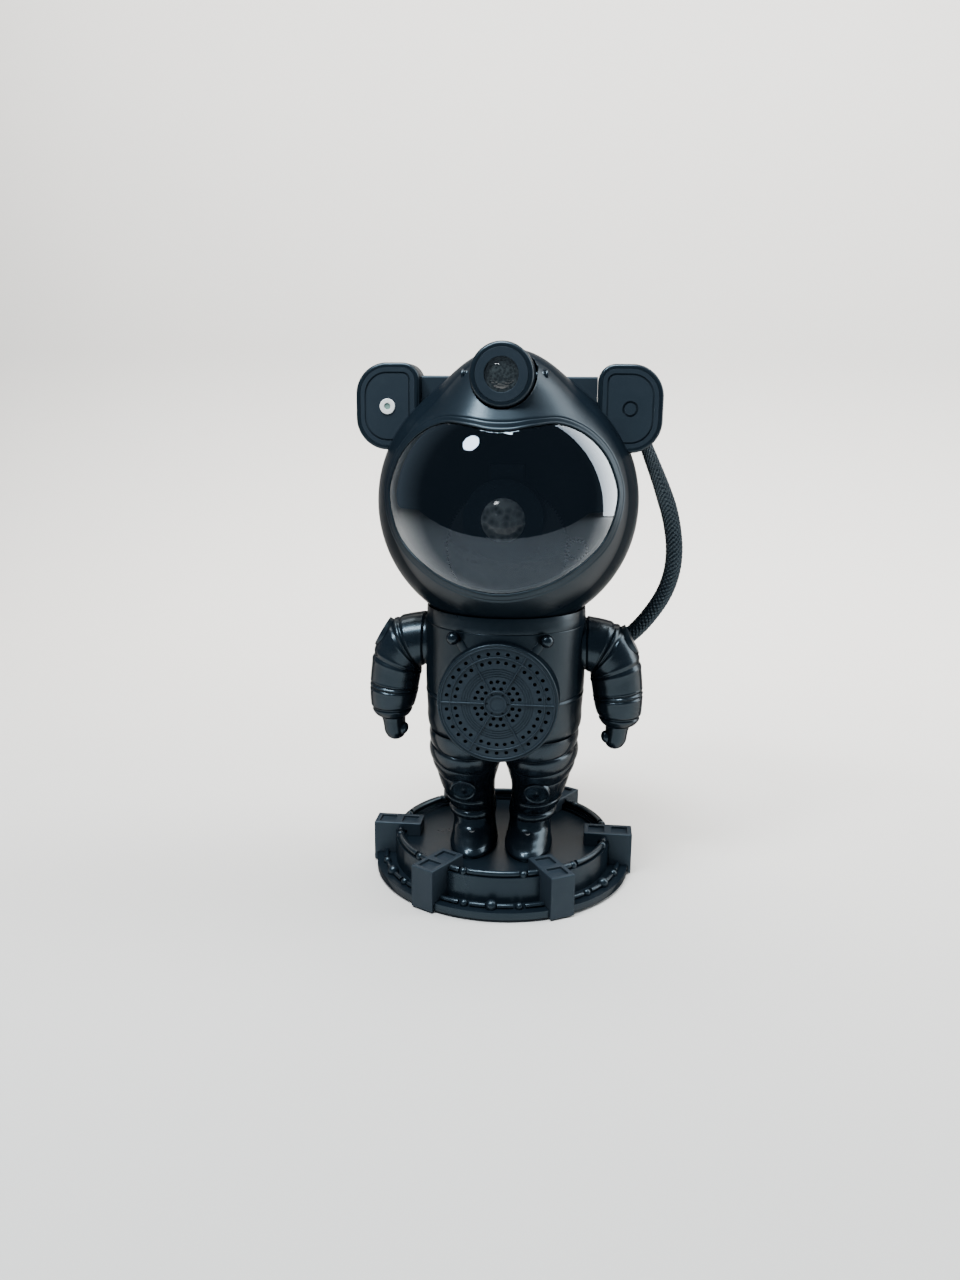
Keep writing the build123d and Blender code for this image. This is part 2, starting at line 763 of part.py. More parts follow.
def speaker_grille():
    """Round plate with six sectors of holes, spokes, rings and a hub; local z = 0 is its front."""
    plate = Pos(0, 0, -GRILLE_T) * rod(GRILLE_D, GRILLE_T)
    step = 360 / GRILLE_SECTORS
    hole = Pos(0, 0, -2 * GRILLE_T) * rod(GRILLE_HOLE_D, 3 * GRILLE_T)
    holes = []
    for i in range(GRILLE_SECTORS):
        for radius, count, pitch in zip(GRILLE_HOLE_ROWS, GRILLE_HOLE_COUNTS, GRILLE_HOLE_ANGLES):
            for k in range(count):
                angle = step * (i + 0.5) + pitch * (k - (count - 1) / 2)
                holes.append(Rot(0, 0, angle) * Pos(radius, 0, 0) * hole)
    spoke = span_box((GRILLE_HUB_D / 2, GRILLE_D / 2 + 1), (-SPOKE_W / 2, SPOKE_W / 2), (-SPOKE_DEPTH, 1))
    spokes = [Rot(0, 0, step * i) * spoke for i in range(GRILLE_SECTORS)]
    rings = []
    for radius in FINE_RINGS:
        ring = rod(2 * radius + FINE_RING_W, 1) - rod(2 * radius - FINE_RING_W, 1)
        rings.append(Pos(0, 0, -SPOKE_DEPTH / 2) * ring)
    plate -= Compound(holes + spokes + rings)
    hub = rod(GRILLE_HUB_D, HUB_RISE)
    hub -= Pos(0, 0, HUB_RISE - HUB_RING_DEPTH) * rod(GRILLE_HUB_D - 2 * HUB_RING_W, HUB_RISE)
    plate += hub
    return facing_front(0, -GRILLE_FRONT, grille_z) * plate


def speaker_place():
    """Local z runs back from the speaker's seat."""
    return facing_back(0, -SPEAKER_SEAT, grille_z)


def speaker_frame():
    """Basket of the driver with its magnet pot."""
    rim = SPEAKER_FLANGE_D / 2
    inner = CONE_D / 2 + CONE_GAP
    return speaker_place() * lathe(
        [
            (inner, 0),
            (rim, 0),
            (rim, FRAME_LIP_T),
            (inner + 1, FRAME_LIP_T),
            (POT_D / 2, POT_FRONT),
            (POT_D / 2, POT_BACK),
            (0, POT_BACK),
            (0, POT_FRONT),
            (COIL_R - COIL_GAP, POT_FRONT),
            (COIL_R - COIL_GAP, POT_BACK - POT_BASE_T),
            (COIL_R + COIL_T + COIL_GAP, POT_BACK - POT_BASE_T),
            (COIL_R + COIL_T + COIL_GAP, POT_FRONT),
            (POT_D / 2 - POT_WALL, POT_FRONT),
            (inner, FRAME_LIP_T),
        ]
    )


def speaker_cone():
    """Cone with its surround, dust cap and voice coil."""
    rim = CONE_D / 2
    return speaker_place() * lathe(
        [
            (0, CAP_DEPTH),
            (COIL_R, CONE_DEPTH - 2 * CONE_T),
            (rim - SURROUND_W, CONE_LIFT),
            (rim, CONE_LIFT),
            (rim, CONE_LIFT + CONE_T),
            (rim - SURROUND_W, CONE_LIFT + CONE_T),
            (COIL_R + COIL_T, CONE_DEPTH),
            (COIL_R + COIL_T, COIL_END),
            (COIL_R, COIL_END),
            (COIL_R, CONE_DEPTH - CONE_T),
            (0, CAP_DEPTH + CONE_T),
        ]
    )


# ---------------------------------------------------------------- neck


def neck_collar():
    ring = lathe(
        [
            (COLLAR_R - COLLAR_WALL, seam_z),
            (COLLAR_R, seam_z),
            (COLLAR_TOP_R, collar_top + 1),
            (COLLAR_R - COLLAR_WALL, collar_top + 1),
        ]
    )
    skirt_r = COLLAR_R - TORSO_WALL - SEAT_GAP
    skirt = lathe(
        [
            (skirt_r - SKIRT_T, seam_z - SKIRT_H),
            (skirt_r, seam_z - SKIRT_H),
            (skirt_r, seam_z),
            (skirt_r - SKIRT_T, seam_z + 1),
        ]
    )
    dish = (ball(dish_inner_r + DISH_WALL) & rod(2 * skirt_r - 1, seam_z + 1)) - ball(dish_inner_r)
    sleeve_r = JOURNAL_D / 2 + RUN_GAP
    sleeve = lathe(
        [
            (sleeve_r, sleeve_foot),
            (sleeve_r + SLEEVE_WALL, sleeve_foot),
            (sleeve_r + SLEEVE_WALL, seam_z),
            (sleeve_r, seam_z),
        ]
    )
    sleeve -= ball(dish_inner_r)
    body = ring + skirt + dish + sleeve
    body -= rod(2 * sleeve_r, seam_z)
    return body - ball(seat_r)


def neck_cup():
    dish = (ball(cup_outer_r) & rod(2 * CUP_R, head_z)) - ball(seat_r)
    journal = Pos(0, 0, sleeve_foot) * rod(JOURNAL_D, head_z - sleeve_foot)
    journal -= ball(seat_r)
    pocket = Pos(0, 0, sleeve_foot - 1) * rod(MAGNET_D + 2 * SEAT_GAP, magnet_top() - sleeve_foot + 1)
    return dish + journal - pocket


def magnet_top():
    return head_z - cup_outer_r - SEAT_GAP


def neck_magnet():
    return Pos(0, 0, magnet_top() - MAGNET_T) * rod(MAGNET_D, MAGNET_T)


# ---------------------------------------------------------------- arms


def arm_section(angle, section):
    x, z, half_w, half_d = section
    down = radians(angle)
    origin = (SHOULDER_X + x, 0, shoulder_z + z)
    plane = Plane(origin, x_dir=(sin(down), 0, cos(down)), z_dir=(cos(down), 0, -sin(down)))
    return plane * oval(half_w, half_d)


def right_arm():
    arm = loft([arm_section(angle, section) for angle, section in zip(ARM_ANGLES, ARM_SECTIONS)])
    x, y, z = THUMB
    arm += Pos(SHOULDER_X + x, y, shoulder_z + z) * Sphere(THUMB_D / 2)
    pin_hole = Plane((0, 0, shoulder_z), z_dir=(1, 0, 0)) * rod(
        SHOULDER_PIN_D + 2 * RUN_GAP, SHOULDER_X + PIN_REACH + SEAT_GAP
    )
    return arm - pin_hole


def right_arm_patch(arm):
    tilt = radians(PATCH_ANGLE)
    outward = (cos(tilt), 0, sin(tilt))
    origin = (SHOULDER_X + PATCH_X, 0, shoulder_z + PATCH_Z)
    place = Plane(origin, x_dir=(0, 1, 0), z_dir=outward)
    disc = place * (Pos(0, 0, -PATCH_SINK) * rod(PATCH_D, PATCH_T))
    solids = (disc - arm).solids()
    return max(solids, key=lambda solid: solid.center().X)


def right_shoulder_pin():
    """Pin that the arm turns with; its head holds it inside the torso."""
    wall = min(CHEST_R, COLLAR_R) - TORSO_WALL
    head_x = sqrt(wall**2 - (PIN_HEAD_D / 2) ** 2) - PIN_HEAD_T - SLIDE_GAP
    head = Plane((head_x, 0, shoulder_z), z_dir=(1, 0, 0)) * rod(PIN_HEAD_D, PIN_HEAD_T)
    shank = Plane((head_x, 0, shoulder_z), z_dir=(1, 0, 0)) * rod(
        SHOULDER_PIN_D, SHOULDER_X + PIN_REACH - head_x
    )
    return head + shank


# ---------------------------------------------------------------- backpack


def pack_box(inset):
    box = span_box(
        (-PACK_W / 2 + inset, PACK_W / 2 - inset),
        (PACK_FRONT, PACK_BACK - inset),
        (pack_z - PACK_H / 2 + inset, pack_z + PACK_H / 2 - inset),
    )
    edges = box.edges().filter_by(lambda edge: edge.center().Y > PACK_FRONT + 1)
    return fillet(edges, PACK_ROUND - inset)


def button_places():
    return [(side * BUTTON_X, pack_z + PACK_H / 2 - BUTTON_DROP) for side in (-1, 1)]


def usb_z():
    return pack_z - PACK_H / 2 + USB_RISE


def backpack_shell():
    shell = pack_box(0) - pack_box(PACK_WALL)
    shell -= grown_torso()
    for x, z in button_places():
        shell -= facing_back(x, PACK_FRONT, z) * rod(BUTTON_D + 2 * RUN_GAP, FAR)
    half_w = USB_W / 2 + SEAT_GAP
    half_h = USB_H / 2 + SEAT_GAP
    shell -= region(x=(-half_w, half_w), y=(board_back(), FAR), z=(usb_z() - half_h, usb_z() + half_h))
    for side in (-1, 1):
        x = side * (BOARD_W / 2 - RIB_IN)
        across = (x - RIB_T / 2, x + RIB_T / 2)
        shell += span_box(across, (board_back(), PACK_BACK - PACK_WALL), (usb_z() + RIB_RISE, pack_z))
    return shell


def board_back():
    """Where the board's rear face lies."""
    return PACK_BACK - PACK_WALL - BOARD_SET


def grown_torso():
    return torso_form(-SEAT_GAP)


def control_board():
    face = board_back()
    board = span_box(
        (-BOARD_W / 2, BOARD_W / 2),
        (face - BOARD_T, face),
        (pack_z - BOARD_H / 2, pack_z + BOARD_H / 2),
    )
    for x, z in button_places():
        board += facing_back(x, face, z) * rod(SWITCH_D, switch_tip() - face)
    return board - facing_back(0, face, usb_z()) * Box(USB_W + 2 * USB_ROOM, USB_H + 2 * USB_ROOM, USB_L)


def switch_tip():
    lip_foot = PACK_BACK - PACK_WALL - SLIDE_GAP - BUTTON_LIP_T
    return lip_foot - BUTTON_TRAVEL - SLIDE_GAP


def button(place):
    lip_top = PACK_BACK - PACK_WALL - SLIDE_GAP
    x, z = place
    lip = facing_back(x, lip_top - BUTTON_LIP_T, z) * rod(BUTTON_D + 2 * BUTTON_LIP, BUTTON_LIP_T)
    cap = facing_back(x, lip_top - BUTTON_LIP_T, z) * rod(
        BUTTON_D, PACK_BACK + BUTTON_PROUD - lip_top + BUTTON_LIP_T
    )
    cap = fillet(cap.edges().sort_by(Axis.Y)[-1], BUTTON_EDGE_R)
    return lip + cap


def usb_socket():
    shell = span_box(
        (-USB_W / 2, USB_W / 2),
        (PACK_BACK - USB_L, PACK_BACK),
        (usb_z() - USB_H / 2, usb_z() + USB_H / 2),
    )
    mouth = span_box(
        (-USB_W / 2 + USB_SHELL, USB_W / 2 - USB_SHELL),
        (PACK_BACK - USB_L + USB_BACK_T, PACK_BACK + 1),
        (usb_z() - USB_H / 2 + USB_SHELL, usb_z() + USB_H / 2 - USB_SHELL),
    )
    width, height = USB_TONGUE
    tongue = span_box(
        (-width / 2, width / 2),
        (PACK_BACK - USB_L, PACK_BACK - USB_TONGUE_SINK),
        (usb_z() - height / 2, usb_z() + height / 2),
    )
    return shell - mouth + tongue


def hose_gland_lower():
    """Tapered cable entry on the backpack's right side."""
    face = PACK_W / 2
    exit_point = (face + LOWER_GLAND_L, LOWER_EXIT_Y, hem_z + LOWER_EXIT_RISE)
    root_r, mouth_r = [GLAND_D / 2 + extra for extra in GLAND_TAPER]
    cone = Cone(root_r, mouth_r, 2 * LOWER_GLAND_L, align=(Align.CENTER, Align.CENTER, Align.MAX))
    gland = Plane(exit_point, z_dir=LOWER_EXIT_RUN) * cone
    return gland & region(x=(face, FAR))


# ---------------------------------------------------------------- helmet


def crest_ball(inset):
    return Pos(0, CREST_Y, crest_z) * Sphere(CREST_R - inset)


def helmet_form():
    """Outer form of the helmet: a ball that swells into the crest over the brow."""
    form = ball(HELMET_R) + crest_ball(0)
    centre = Vector(0, 0, head_z)
    crest_centre = Vector(0, CREST_Y, crest_z)

    def on_both(edge):
        middle = edge @ 0.5
        on_helmet = abs((middle - centre).length - HELMET_R) < 0.01
        return on_helmet and abs((middle - crest_centre).length - CREST_R) < 0.01

    return fillet(form.edges().filter_by(on_both), CREST_BLEND)


def visor_prism(grow):
    """The visor's outline, moved out by grow, as a prism that runs forward from the helmet's centre."""
    right = []
    for x, z in VISOR_OUTLINE:
        stretch = HELMET_R / VISOR_DRAWN_R + grow / sqrt(x * x + z * z)
        right.append((x * stretch, 0, head_z + z * stretch))
    left = [(-x, y, z) for x, y, z in right[-2:0:-1]]
    outline = Spline(*right, *left, periodic=True)
    return extrude(make_face(outline), 2 * HELMET_R, dir=(0, -1, 0))


def helmet_screw_places():
    across = helmet_screw_r * cos(radians(HELMET_SCREW_ANGLE))
    up = helmet_screw_r * sin(radians(HELMET_SCREW_ANGLE))
    return [(side * across, head_z + level * up) for side in (-1, 1) for level in (-1, 1)]


def helmet_boss(y, length):
    """Bosses on the helmet's wall that run back from y."""
    bosses = [facing_back(x, y, z) * rod(HELMET_BOSS_D, length) for x, z in helmet_screw_places()]
    return Compound(bosses) & ball(HELMET_R - HELMET_WALL / 2)


def helmet_body():
    """Hollow helmet with the seat of the steel plate, before the split and the openings."""
    hollow = ball(helmet_inner_r) + crest_ball(HELMET_WALL)
    seat_top = head_z - helmet_inner_r + PLATE_LIFT
    seat = rod(PLATE_D + 2 * PLATE_SEAT_W, seat_top) & ball(HELMET_R - HELMET_WALL / 2)
    return helmet_form() - hollow + seat


def star_slot():
    """Room in the crest for the star barrel and its tilt, open above."""
    radius = STAR_D / 2 + STAR_SLOT_GAP
    slot = Pos(0, star_pivot_y, star_z) * Sphere(radius)
    slot += facing_front(0, star_pivot_y, star_z) * rod(2 * radius, FAR)
    return slot + region(x=(-radius, radius), y=(-FAR, star_pivot_y), z=(star_z, FAR))


def star_cheeks():
    """Plates each side of the slot that hold the barrel's trunnions."""
    inner = STAR_D / 2 + STAR_SLOT_GAP
    y = [star_pivot_y + end for end in STAR_CHEEK_Y]
    z = [star_z + end for end in STAR_CHEEK_Z]
    cheek = span_box((inner, inner + STAR_CHEEK_T), y, z)
    return (cheek + mirrored(cheek)) & (crest_ball(STAR_CHEEK_SKIN) + ball(HELMET_R - STAR_CHEEK_SKIN))


def helmet_front():
    front = helmet_body() & region(y=(-FAR, SPLIT_Y))
    front -= visor_prism(0)
    ledge = visor_prism(VISOR_LEDGE_W) - visor_prism(-VISOR_LEDGE_W)
    ledge &= ball(helmet_inner_r + 0.05) - ball(helmet_inner_r - VISOR_LEDGE_T)
    front += ledge
    bosses = helmet_boss(FRAME_Y - HELMET_BOSS_L, HELMET_BOSS_L)
    front += bosses
    front -= star_slot()
    front += star_cheeks()
    pivot = Plane((-HELMET_R, star_pivot_y, star_z), z_dir=(1, 0, 0))
    front -= pivot * rod(STAR_PIVOT_D + 2 * RUN_GAP, 2 * HELMET_R)
    for x, z in helmet_screw_places():
        front -= facing_back(x, FRAME_Y + FRAME_T, z) * case_screw_cut()
    return front


def helmet_rear():
    rear = helmet_body() & region(y=(SPLIT_Y, FAR))
    rear += helmet_boss(SPLIT_Y, HELMET_R)
    rear += helmet_boss(FRAME_Y + FRAME_T, SPLIT_Y - FRAME_Y) & ball(helmet_inner_r - SEAT_GAP)
    for x, z in helmet_screw_places():
        rear -= facing_back(x, FRAME_Y + FRAME_T, z) * case_screw_cut()
    return rear


def helmet_screws():
    seat = FRAME_Y + FRAME_T
    return Compound([facing_back(x, seat, z) * case_screw() for x, z in helmet_screw_places()])


def visor():
    outer = HELMET_R - VISOR_SINK
    shell = ball(outer) - ball(outer - VISOR_T)
    return shell & visor_prism(-VISOR_EDGE_GAP)


def head_plate():
    return Pos(0, 0, head_z - helmet_inner_r + PLATE_LIFT) * rod(PLATE_D, PLATE_T)


# ---------------------------------------------------------------- ears


def ear_outline(inset):
    """Rounded face of an ear about its centre; the corners on its outer side are the rounder ones."""
    half_w = EAR_W / 2 - inset
    height = EAR_H - 2 * inset
    outer = RectangleRounded(2 * half_w, height, half_w - EAR_CROWN_FLAT)
    inner = RectangleRounded(2 * half_w, height, EAR_CORNER_R - inset)
    outer_side = Pos(half_w / 2, 0) * Rectangle(half_w, height)
    return (outer & outer_side) + (inner - outer_side)


def ear_block(inset, front, back):
    """Right ear's outline, drawn in by inset, as a block between two depths."""
    return extrude(facing_front(ear_inner_x + EAR_W / 2, back, ear_z) * ear_outline(inset), back - front)


def right_ear_housing():
    housing = ear_block(0, EAR_FRONT, EAR_FRONT + EAR_DEPTH)
    housing = fillet(housing.faces().sort_by(Axis.Y)[0].edges(), EAR_EDGE_R)
    housing -= ear_block(EAR_RIM, EAR_FRONT - 1, EAR_FRONT + EAR_FACE_T)
    housing -= ear_block(EAR_RIM + EAR_WALL, EAR_FRONT, EAR_FRONT + EAR_DEPTH - EAR_WALL)
    return housing - ball(HELMET_R)


def ear_face():
    face = ear_block(EAR_RIM + SEAT_GAP, EAR_FRONT, EAR_FRONT + EAR_FACE_T)
    groove = ear_block(EAR_GROOVE_IN, EAR_FRONT - 1, EAR_FRONT + EAR_GROOVE_DEPTH)
    groove -= ear_block(EAR_GROOVE_IN + EAR_GROOVE_W, EAR_FRONT - 1, EAR_FRONT + EAR_GROOVE_DEPTH)
    return face - groove - ball(HELMET_R)


def ear_spot(depth):
    """Plane at the middle of the right ear's face, depth behind its front."""
    return facing_front(ear_inner_x + EAR_W / 2, EAR_FRONT + depth, ear_z)


def right_ear_face():
    dimple = ear_spot(DIMPLE_DEPTH) * rod(DIMPLE_D, FAR)
    disc = ear_spot(DIMPLE_DEPTH) * rod(DIMPLE_D - 2 * DIMPLE_RIM, DIMPLE_DISC_T)
    return ear_face() - dimple + disc


def left_ear_face():
    bore = ear_spot(EAR_FACE_T + 1) * rod(RING_D + 2 * SEAT_GAP, FAR)
    return mirrored(ear_face() - bore)


def indicator_ring():
    ring = ear_spot(EAR_FACE_T) * (rod(RING_D, EAR_FACE_T + RING_PROUD) - rod(RING_BORE_D, FAR))
    return mirrored(ring)


def indicator_window():
    return mirrored(ear_spot(EAR_FACE_T) * rod(RING_BORE_D - 2 * RUN_GAP, EAR_FACE_T))


def crossbar():
    """The two stubs of the bar from ear to ear that stand clear of the helmet."""
    top = head_z + HELMET_R - BRACE_DROP
    reach = ear_inner_x - SEAT_GAP
    bar = span_box((0, reach), (BRACE_FRONT, BRACE_FRONT + BRACE_T), (top - BRACE_H, top))
    bar = fillet(bar.edges().filter_by(Axis.X), BRACE_EDGE_R)
    stub = max((bar - helmet_form()).solids(), key=lambda solid: solid.center().X)
    return Compound([stub, mirrored(stub)])


def hose_gland_upper():
    """Cable entry on the right ear's back, in line with the cable's first run."""
    back = EAR_FRONT + EAR_DEPTH
    x = ear_inner_x + UPPER_EXIT_X
    z = ear_z - UPPER_EXIT_DROP
    exit_point = (x, back + UPPER_EXIT_Y, z)
    column = Plane(exit_point, z_dir=[-run for run in UPPER_EXIT_RUN]) * rod(GLAND_D, GLAND_H)
    side = x - GLAND_D / 2 - 1
    web = span_box((side, side + GLAND_D), (back, exit_point[1]), (z + GLAND_D / 2, z + GLAND_H))
    return (column + web) & region(y=(back, FAR))


# ---------------------------------------------------------------- star barrel


def star_place():
    """Local z runs back from the barrel's front."""
    return facing_back(0, star_front, star_z)


def star_tube(radius):
    """Tube that ends behind in a ball about the pivot."""
    return rod(2 * radius, STAR_PIVOT_SET) + Pos(0, 0, STAR_PIVOT_SET) * Sphere(radius)


def star_barrel():
    tube = fillet(star_tube(STAR_D / 2).edges().sort_by(Axis.Z)[0], STAR_EDGE_R)
    tube -= star_tube(STAR_D / 2 - STAR_WALL)
    trunnion = Plane((STAR_D / 2 - STAR_WALL / 2, star_pivot_y, star_z), z_dir=(1, 0, 0)) * rod(
        STAR_PIVOT_D, STAR_WALL / 2 + STAR_SLOT_GAP + STAR_PIVOT_L
    )
    return star_place() * tube + trunnion + mirrored(trunnion)


def star_bore_r():
    return STAR_D / 2 - STAR_WALL - RUN_GAP


def star_bezel():
    bezel = rod(2 * star_bore_r(), BEZEL_T) - rod(STAR_LENS_D, BEZEL_T)
    bezel -= Pos(0, 0, BEZEL_T - STAR_LENS_T) * rod(STAR_LENS_D + 2 * STAR_LENS_SEAT, STAR_LENS_T)
    return star_place() * bezel


def star_lens():
    radius = STAR_LENS_D / 2 + STAR_LENS_SEAT - RUN_GAP
    seat = BEZEL_T - STAR_LENS_T
    lens = Pos(0, 0, seat) * rod(2 * radius, STAR_LENS_T)
    crown = Pos(0, 0, seat + STAR_LENS_CROWN_R - STAR_LENS_RISE) * Sphere(STAR_LENS_CROWN_R)
    return star_place() * (lens + (crown & rod(STAR_LENS_D - 2 * SEAT_GAP, BEZEL_T)))


def star_laser():
    """Plate in the barrel that carries the laser, with its diffraction grating in front."""
    plate = Pos(0, 0, LASER_BACK) * rod(2 * star_bore_r(), LASER_PLATE_T)
    diode = Pos(0, 0, LASER_BACK - LASER_L) * rod(LASER_D, LASER_L)
    collar_z = LASER_BACK - LASER_L + LASER_COLLAR_SET
    collar = Pos(0, 0, collar_z) * rod(LASER_D + 2 * LASER_COLLAR_W, LASER_COLLAR_T)
    return star_place() * (plate + diode + collar)


# ---------------------------------------------------------------- nebula projector


def nebula_barrel():
    inner = BARREL_D / 2 - BARREL_WALL
    length = BARREL_BACK - BARREL_FRONT
    tube = rod(BARREL_D, length) - Pos(0, 0, BARREL_WALL) * rod(2 * inner, length)
    tube -= rod(LENS_D + 2 * RUN_GAP, length)
    tube = facing_back(0, BARREL_FRONT, lens_z) * tube
    top = lens_z + BARREL_D / 2
    lug = span_box(
        (-BARREL_LUG_W / 2, BARREL_LUG_W / 2),
        (BARREL_BACK - BARREL_LUG_L, FRAME_Y),
        (top - BARREL_LUG_SINK, top + BARREL_LUG_T),
    )
    return tube + lug


def nebula_lens():
    """Plano-convex lens, crowned toward the visor."""
    crown_r = (LENS_CROWN**2 + (LENS_D / 2) ** 2) / (2 * LENS_CROWN)
    rim = rod(LENS_D, LENS_T)
    crown = Pos(0, 0, crown_r - LENS_CROWN) * Sphere(crown_r)
    crown &= Pos(0, 0, -LENS_CROWN) * rod(LENS_D, LENS_CROWN)
    return facing_back(0, BARREL_FRONT, lens_z) * (rim + crown)


def gear(teeth, thickness, phase):
    """Spur gear about local Z with straight-flanked teeth and backlash."""
    pitch_r = gear_module * teeth / 2
    tip = pitch_r + TOOTH_RISE * gear_module
    root = pitch_r - TOOTH_DEPTH * gear_module
    rising = [(root, -TOOTH_ROOT_SHARE), (tip, -TOOTH_TIP_SHARE)]
    falling = [(tip, TOOTH_TIP_SHARE), (root, TOOTH_ROOT_SHARE)]
    step = 360 / teeth
    points = []
    for i in range(teeth):
        for radius, share in rising + falling:
            angle = radians(phase + step * (i + share))
            points.append((radius * cos(angle), radius * sin(angle)))
    return extrude(make_face(Polyline(points, close=True)), thickness)


def nebula_disc():
    """Rippled disc with its gear ring, turning on the frame's axle."""
    disc = gear(DISC_TEETH, DISC_T, 0) - rod(AXLE_D + 2 * RUN_GAP, DISC_T)
    return facing_front(0, DISC_FRONT + DISC_T, disc_z) * disc


def nebula_pinion():
    half_tooth = 180 / PINION_TEETH
    reach = FRAME_Y + FRAME_T + MOTOR_SHAFT_IN - DISC_FRONT
    wheel = gear(PINION_TEETH, DISC_T, half_tooth)
    shaft = Pos(0, 0, DISC_T - reach) * rod(MOTOR_SHAFT_D, reach)
    return facing_front(pinion_x, DISC_FRONT + DISC_T, disc_z) * (wheel + shaft)


def nebula_motor():
    seat = FRAME_Y + FRAME_T
    body = facing_back(pinion_x, seat, disc_z) * rod(MOTOR_D, MOTOR_L)
    bore = facing_back(pinion_x, seat, disc_z) * rod(MOTOR_SHAFT_D + 2 * RUN_GAP, MOTOR_SHAFT_IN + SEAT_GAP)
    return body - bore


def optics_frame():
    """Bulkhead clamped between the helmet's bosses; it carries the optics, the disc's axle and the motor."""
    radius = sqrt(helmet_inner_r**2 - (FRAME_Y + FRAME_T) ** 2) - FRAME_GAP
    frame = facing_back(0, FRAME_Y, head_z) * rod(2 * radius, FRAME_T)
    window = SINK_BLOCK + 2 * FRAME_GAP
    frame -= facing_back(0, FRAME_Y, lens_z) * Box(window, window, FAR)
    frame -= facing_back(pinion_x, 0, disc_z) * rod(MOTOR_SHAFT_D + 4 * FRAME_GAP, FAR)
    for x, z in helmet_screw_places():
        frame -= facing_back(x, 0, z) * rod(CASE_SCREW_D + 2 * RUN_GAP, FAR)
    frame -= rod(PLATE_D + 2 * PLATE_SEAT_W + 2 * FRAME_GAP, plate_top + FRAME_GAP)
    axle = facing_front(0, FRAME_Y, disc_z)
    head_seat = FRAME_Y - DISC_FRONT + SLIDE_GAP
    frame += axle * rod(AXLE_D, head_seat + AXLE_HEAD_T)
    frame += axle * (Pos(0, 0, head_seat) * rod(AXLE_HEAD_D, AXLE_HEAD_T))
    collar_l = FRAME_Y - DISC_FRONT - DISC_T - SLIDE_GAP
    return frame + axle * rod(AXLE_COLLAR_D, collar_l)


def led_board():
    face = FRAME_Y - LED_BOARD_SET
    half = LED_BOARD / 2
    board = span_box((-half, half), (face, face + LED_BOARD_T), (lens_z - half, lens_z + half))
    for angle in LED_ANGLES:
        x = LED_RING_R * cos(radians(angle))
        z = lens_z + LED_RING_R * sin(radians(angle))
        board += facing_front(x, face, z) * rod(LED_D, LED_H)
    return board


def heat_sink():
    front = FRAME_Y - LED_BOARD_SET + LED_BOARD_T
    back = FRAME_Y + FRAME_T
    half_block = SINK_BLOCK / 2
    half_flange = SINK_FLANGE / 2
    tall = (lens_z - half_flange, lens_z + half_flange)
    fin_root = back + SINK_FLANGE_T
    sink = span_box((-half_block, half_block), (front, back), (lens_z - half_block, lens_z + half_block))
    sink += span_box((-half_flange, half_flange), (back, fin_root), tall)
    pitch = (SINK_FLANGE - SINK_FIN_T) / (SINK_FIN_COUNT - 1)
    for i in range(SINK_FIN_COUNT):
        x = -half_flange + i * pitch
        sink += span_box((x, x + SINK_FIN_T), (fin_root, fin_root + SINK_FIN_L), tall)
    return sink


# ---------------------------------------------------------------- cable


def bend_radii(route):
    """Largest radii that the runs beside each point of the route leave room for."""
    points = [Vector(*p) for p in route]
    runs = [b - a for a, b in zip(points, points[1:])]
    radii = []
    for before, after in zip(runs, runs[1:]):
        turn = radians(before.get_angle(after))
        radii.append(0.45 * min(before.length, after.length) / tan(turn / 2))
    return radii


def hose():
    radii = bend_radii(HOSE_ROUTE)
    print("cable bend radii", [round(radius, 1) for radius in radii])
    path = FilletPolyline(*HOSE_ROUTE, radius=radii)
    section = Plane(HOSE_ROUTE[0], z_dir=path % 0) * Circle(HOSE_D / 2)
    tube = sweep(section, path=path)
    expected = path.length * pi * HOSE_D**2 / 4
    print("cable length", round(path.length, 1), "volume over expected", round(tube.volume / expected, 4))
    return tube


